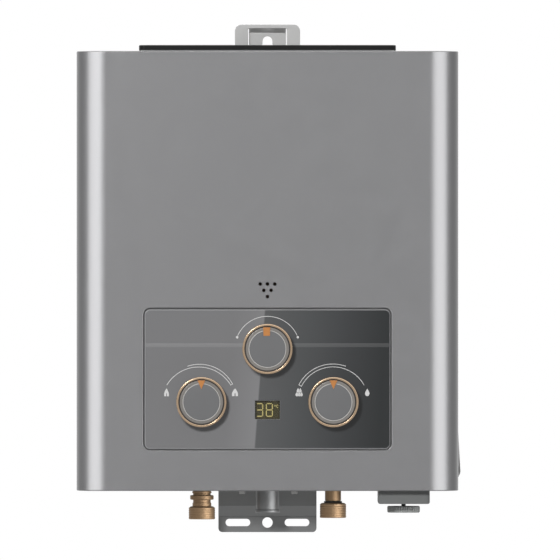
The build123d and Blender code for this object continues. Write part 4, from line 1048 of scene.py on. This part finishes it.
# Knobs: each a turned one pushed on its spindle, with a fluted skirt, a gilt outer ring, a spun
# metal face behind a black ring that paints the shade of the gap between them, a thin white ring
# round a flat grey cap, and an orange pointer.
KNOB_BACK = -0.1190
POINTER_FACE, POINTER_BACK = KNOB_BACK - 0.0192, KNOB_BACK - 0.0172
knob_skirt = finish(
    "knob skirt", (0.10, 0.085, 0.065), (0.22, 0.19, 0.15), rough=0.4, scale=900,
)
gilt = finish(
    "gilt ring", (0.44, 0.32, 0.215), (0.70, 0.60, 0.48), metal=0.85, rough=0.20, spread=0.05,
    scale=700, vary=0.04, relief=3e-6, wear=0.3,
)
spun_metal = finish(
    "spun metal", (0.235, 0.222, 0.208), (0.40, 0.37, 0.34), metal=0.8, rough=0.32,
    scale=500, vary=0.05, relief=4e-6, wear=0.3,
)
white_ring = finish(
    "white ring", (0.48, 0.47, 0.45), (0.7, 0.7, 0.7), rough=0.35, relief=3e-6, wear=0.1,
)
cap_grey = finish(
    "cap lacquer", (0.126, 0.127, 0.130), (0.3, 0.3, 0.3), metal=0.3, rough=0.45, spread=0.04,
    scale=2200, vary=0.02, relief=6e-6, width=0.0003, wear=0.2,
)
pointer_orange = finish(
    "pointer lacquer", (0.40, 0.165, 0.046), (0.6, 0.35, 0.2), rough=0.35, scale=900, vary=0.06,
    relief=5e-6, width=0.0003, wear=0.3,
)
skirt_line = eased([
    (0.0170, 0), (0.0193, 0, 0.0003), (0.0197, 0.0122, 0.0003), (0.0170, 0.0124),
], steps=3)
# A black ring sunk between the gilt ring and the face: painted shade standing for the shade in the
# groove.
shade_ring_line = [(0.0172, 0.0122), (0.0181, 0.0122), (0.0181, 0.0166), (0.0172, 0.0166)]
ring_line = eased([
    (0.0181, 0.0122), (0.0200, 0.0122, 0.0004), (0.0200, 0.0184, 0.0009),
    (0.0181, 0.0184, 0.0006),
])
face_line = eased([
    (0.0145, 0.0124), (0.0172, 0.0124), (0.0172, 0.0181, 0.0003), (0.0145, 0.0181),
], steps=4)
white_line = eased([
    (0.0144, 0.0170), (0.0149, 0.0170), (0.0149, 0.0186, 0.0002), (0.0144, 0.0186, 0.0002),
], steps=3)
cap_line = eased([(0, 0.0172), (0.0144, 0.0172), (0.0144, 0.0187, 0.0003), (0, 0.0190)], steps=4)
spindle_ends = {"season": 0.0180, "flame": 0.0240, "flow": 0.0310}
wedge_lines = dict.fromkeys(knobs, [(-0.0031, 0.0173), (0, 0.0101), (0.0031, 0.0173)])
wedge_lines["season"] = [
    (-0.0034, 0.0172), (-0.0032, 0.0104), (0.0020, 0.0104), (0.0023, 0.0172),
]
for name, (x, z) in knobs.items():
    body = name + "_knob"
    centre, out = (x, KNOB_BACK, z), (0, -1, 0)
    end = -spindle_ends[name]
    spindle_line = [(0, 0.010), (0.003, 0.010), (0.003, end), (0, end)]
    skirt = turned(skirt_line, centre, out, steps=360, flutes=72, flute_depth=0.0004)
    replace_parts(piece(body + "_skirt", skirt, knob_skirt, body), body)
    for part, line, steps, material, slot in (
        ("_shade_ring", shade_ring_line, 96, black_plastic, "knob_metal"),
        ("_ring", ring_line, 128, gilt, "knob_metal"),
        ("_face", face_line, 128, spun_metal, "knob_metal"),
        ("_line", white_line, 128, white_ring, "knob_cap"),
        ("_spindle", spindle_line, 32, brass, "brass"),
    ):
        piece(body + part, turned(line, centre, out, steps), material, body)
    disc = piece(name + "_cap_disc", turned(cap_line, centre, out, 128), cap_grey, body, crisp=20.0)
    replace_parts(disc, body + "_cap")
    wedge = [(x + a, z + b) for a, b in wedge_lines[name]]
    pointer = sheet(wedge, [], POINTER_FACE, POINTER_BACK, edge=0.00025)
    pointer = piece(name + "_pointer_wedge", pointer, pointer_orange, body)
    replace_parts(pointer, body + "_pointer")

# Hot water outlet: a copper pipe from the exchanger down the left side, brazed to a turned brass
# end with two rings and a short thread for the hose nut.
FITTING_DEPTH = -0.060
FITTING_OFFSET = 0.0523
THREAD_RADIUS = 0.0104775
THREAD_PITCH = 0.001814
THREAD_DEPTH = 0.00016
THREAD_CHAMFER = 0.0004
bronze = finish(
    "cast brass", (0.255, 0.168, 0.096), (0.50, 0.37, 0.24), metal=0.85, rough=0.52,
    scale=420, width=0.0005, wear=0.35, dust=0.05,
)


def threaded(high, low):
    """The outside of a rolled thread between two heights, as (radius, height) points."""
    line = [(THREAD_RADIUS - 0.0006, high)]
    z = high - THREAD_CHAMFER
    while z > low + THREAD_CHAMFER + THREAD_PITCH:
        for share, cut in ((0.0, 0.0), (0.30, 0.0), (0.55, THREAD_DEPTH), (0.75, THREAD_DEPTH)):
            line.append((THREAD_RADIUS - cut, z - share * THREAD_PITCH))
        z -= THREAD_PITCH
    return line + [(THREAD_RADIUS, z), (THREAD_RADIUS, low + 0.0005), (THREAD_RADIUS - 0.0005, low)]


def upright(profile, x, steps=128):
    """A shape turned round an upright axis. Its profile lists (radius, height) points."""
    return turned(profile, (x, FITTING_DEPTH, 0), (0, 0, 1), steps)


outlet_top = -0.3405
outlet_line = [(0.0055, outlet_top), (0.0071, outlet_top)]
outlet_line += eased([
    (0.0071, -0.3532), (0.0077, -0.3534, 0.0002), (0.0077, -0.3546, 0.0002), (0.0070, -0.3549),
    (0.0070, -0.3561), (0.00935, -0.3564, 0.0006), (0.00935, -0.3598, 0.0006), (0.0070, -0.3601),
    (0.0070, -0.3622), (0.0075, -0.3625), (0.0075, -0.3650), (0.0092, -0.3654), (0.0098, -0.3660),
], steps=4)
outlet_line += threaded(-0.3660, -0.3755)
outlet_line += [(0.0075, -0.3755), (0.0070, -0.3750), (0.0055, -0.3746)]


def tube(route, radius, bend_radius, steps=24):
    """A bent tube along a route, its corners turned as arcs."""
    points = [Vector(point) for point in route]
    line = [points[0]]
    for before, corner, after in zip(points, points[1:], points[2:]):
        first = corner + (before - corner).normalized() * bend_radius
        last = corner + (after - corner).normalized() * bend_radius
        for s in [k / 8 for k in range(9)]:
            line.append(first * (1 - s) ** 2 + corner * 2 * s * (1 - s) + last * s ** 2)
    line.append(points[-1])
    side = (line[1] - line[0]).normalized().orthogonal().normalized()
    loops = []
    for i, here in enumerate(line):
        run = (line[min(i + 1, len(line) - 1)] - line[max(i - 1, 0)]).normalized()
        side = (side - run * side.dot(run)).normalized()
        third = run.cross(side)
        around = circle(0, 0, radius, steps)
        loops.append([tuple(here + side * a + third * b) for a, b in around])
    return joined(skin(loops), cap(loops[0]), cap(loops[-1]))


PIPE_RADIUS = 0.0061
pipe_level = -0.3135
hot_route = [
    (-0.088, -0.037, -0.093), (-0.120, -0.037, -0.093), (-0.120, FITTING_DEPTH, pipe_level),
    (-FITTING_OFFSET, FITTING_DEPTH, pipe_level), (-FITTING_OFFSET, FITTING_DEPTH, outlet_top),
]
hot_pipe = piece("hot_pipe", tube(hot_route, PIPE_RADIUS, 0.016), copper, crisp=40.0)
hot_outlet = piece("hot_outlet_end", upright(outlet_line, -FITTING_OFFSET), bronze, crisp=28.0)
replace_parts(hot_outlet, "hot_outlet_pipe")
strip_receivers[1].link(hot_outlet)

# Cold water inlet: a turned brass fitting screwed up into the water valve. A black rubber washer
# sits in the groove over its threaded end.
inlet_line = [(0.0045, -0.2976), (0.0064, -0.2976)]
inlet_line += eased([
    (0.0064, -0.3606), (0.0058, -0.3609), (0.0058, -0.3622), (0.0090, -0.3625), (0.0099, -0.3632),
], steps=3)
inlet_line += threaded(-0.3632, -0.3744)
inlet_line += [(0.0078, -0.3744), (0.0072, -0.3738), (0.0045, -0.3734)]
cold_inlet = piece("cold_inlet_end", upright(inlet_line, FITTING_OFFSET), bronze, crisp=28.0)
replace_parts(cold_inlet, "cold_inlet_fitting")
strip_receivers[1].link(cold_inlet)
washer_line = eased([
    (0.0057, -0.3610), (0.0072, -0.3610, 0.0003), (0.0072, -0.3623, 0.0003), (0.0057, -0.3623),
], steps=3)
piece("inlet_washer", upright(washer_line, FITTING_OFFSET, 96), rubber)

# Gas inlet: a turned steel stub screwed up into the gas valve, its end rolled into a collar that
# the gas hose is clamped over.
turned_steel = finish(
    "turned steel", (0.145, 0.147, 0.148), (0.30, 0.30, 0.29), metal=0.85, rough=0.48,
    scale=500, stretch=(1, 1, 10), vary=0.06, relief=6e-6, wear=0.1, dust=0.05,
)
stub_line = eased([
    (0.0065, -0.3006), (0.0092, -0.3006), (0.0092, -0.3678, 0.0003), (0.0098, -0.3682, 0.0003),
    (0.0098, -0.3703, 0.0008), (0.0070, -0.3703, 0.0004), (0.0065, -0.3694),
], steps=4)
gas_stub = piece("gas_stub", upright(stub_line, 0), turned_steel, crisp=28.0)
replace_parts(gas_stub, "gas_inlet_stub")
strip_receivers[1].link(gas_stub)

# Battery box: a moulded housing over the bottom plate, and a drawer for two cells that slides
# into it from below.
BATTERY_OFFSET = 0.10855
DRAWER_LOW = -0.3629
DRAWER_TOP = -0.3518
DRAWER_ROUND = 0.0014
TRAY_FLOOR = -0.3613
TRAY_RIM = -0.3489
TRAY_TOP = -0.3313
grey_plastic = finish(
    "grey moulded plastic", (0.120, 0.124, 0.123), (0.24, 0.24, 0.24), rough=0.48, spread=0.06,
    scale=1600, vary=0.03, relief=2e-5, wear=0.25, dust=0.05,
)
dress(grey_plastic, "battery_housing")
base, tray, cavity, shank_hole, coin_slot = [
    rectangle(BATTERY_OFFSET, FITTING_DEPTH, *size) for size in (
        (0.0412, 0.0838, 0.003), (0.0380, 0.0806), (0.0348, 0.0774), (0.0036, 0.0036),
        (0.0170, 0.0022, 0.0010),
    )
]
base_levels = [
    (DRAWER_ROUND, DRAWER_LOW), (0.0004, DRAWER_LOW + 0.0004), (0, DRAWER_LOW + DRAWER_ROUND),
    (0, DRAWER_TOP),
]
drawer = [
    sides(base, base_levels, at_height),
    flat(at_height, DRAWER_LOW, inset(base, DRAWER_ROUND), shank_hole),
    wall(shank_hole, DRAWER_LOW, TRAY_FLOOR),
    flat(at_height, DRAWER_TOP, base, tray),
    wall(tray, DRAWER_TOP, TRAY_RIM),
    flat(at_height, TRAY_RIM, tray, cavity),
    wall(cavity, TRAY_RIM, TRAY_FLOOR),
    flat(at_height, TRAY_FLOOR, cavity, shank_hole),
]
for side in (-1, 1):
    half, inner, reach = 0.0190, 0.0174, 0.0140
    end, back = side * 0.0403, side * 0.0387
    near = end - side * reach
    line = [
        (-half, end), (half, end), (half, near), (inner, near), (inner, back), (-inner, back),
        (-inner, near), (-half, near),
    ]
    line = [(BATTERY_OFFSET + a, FITTING_DEPTH + b) for a, b in line][::-side]
    drawer.append(sheet(line, [], TRAY_RIM - 0.0002, TRAY_TOP, lift=at_height))
drawer_piece = piece("drawer_shell", joined(*drawer), grey_plastic, "battery_drawer")
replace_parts(drawer_piece, "battery_drawer")

# Thumb screw: a knurled disc of lighter plastic with a coin slot, which holds the drawer shut by
# a long shank between the two cells.
screw_grey = finish(
    "thumb screw plastic", (0.30, 0.31, 0.305), (0.28, 0.28, 0.28), rough=0.5, scale=1300,
    vary=0.04, relief=1.5e-5, wear=0.3, dust=0.05,
)
THUMB_LOW = -0.3702
THUMB_TOP = -0.3649
SHANK_TOP = -0.2944
SLOT_FLOOR = THUMB_LOW + 0.0016
disc_levels = [
    (0.0122, THUMB_LOW, 0.0002), (0.0128, THUMB_LOW + 0.0005, 0.0005),
    (0.0130, THUMB_LOW + 0.0012, 0.0005), (0.0130, THUMB_TOP - 0.0008, 0.0005),
    (0.0126, THUMB_TOP - 0.0002, 0.0002), (0.0122, THUMB_TOP, 0.0002),
]


def knurled(radius, z, depth, steps=240, count=40):
    """A level ring of the thumb screw, knurled by flutes of a depth."""
    line = []
    for t in turns(steps):
        reach = radius - depth * (0.5 - 0.5 * cos(count * t)) ** 2
        line.append((BATTERY_OFFSET + reach * cos(t), FITTING_DEPTH + reach * sin(t), z))
    return line


disc_rings = [knurled(*level) for level in disc_levels]
thumb = [
    skin(disc_rings), cap(disc_rings[0], at_height(coin_slot, THUMB_LOW)), cap(disc_rings[-1]),
    wall(coin_slot, THUMB_LOW, SLOT_FLOOR), flat(at_height, SLOT_FLOOR, coin_slot),
]
thumb_piece = piece("thumb_disc", joined(*thumb), screw_grey, "thumb_screw")
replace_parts(thumb_piece, "battery_thumbscrew")
strip_receivers[1].link(thumb_piece)
SHANK_RADIUS = 0.00175
shank_low = THUMB_TOP - 0.0002
shank_line = [
    (0, shank_low), (SHANK_RADIUS, shank_low), (SHANK_RADIUS, -0.2950), (0.0012, SHANK_TOP),
    (0, SHANK_TOP),
]
shank = upright(shank_line, BATTERY_OFFSET, 32)
piece("thumb_shank", shank, black_plastic, "thumb_screw")
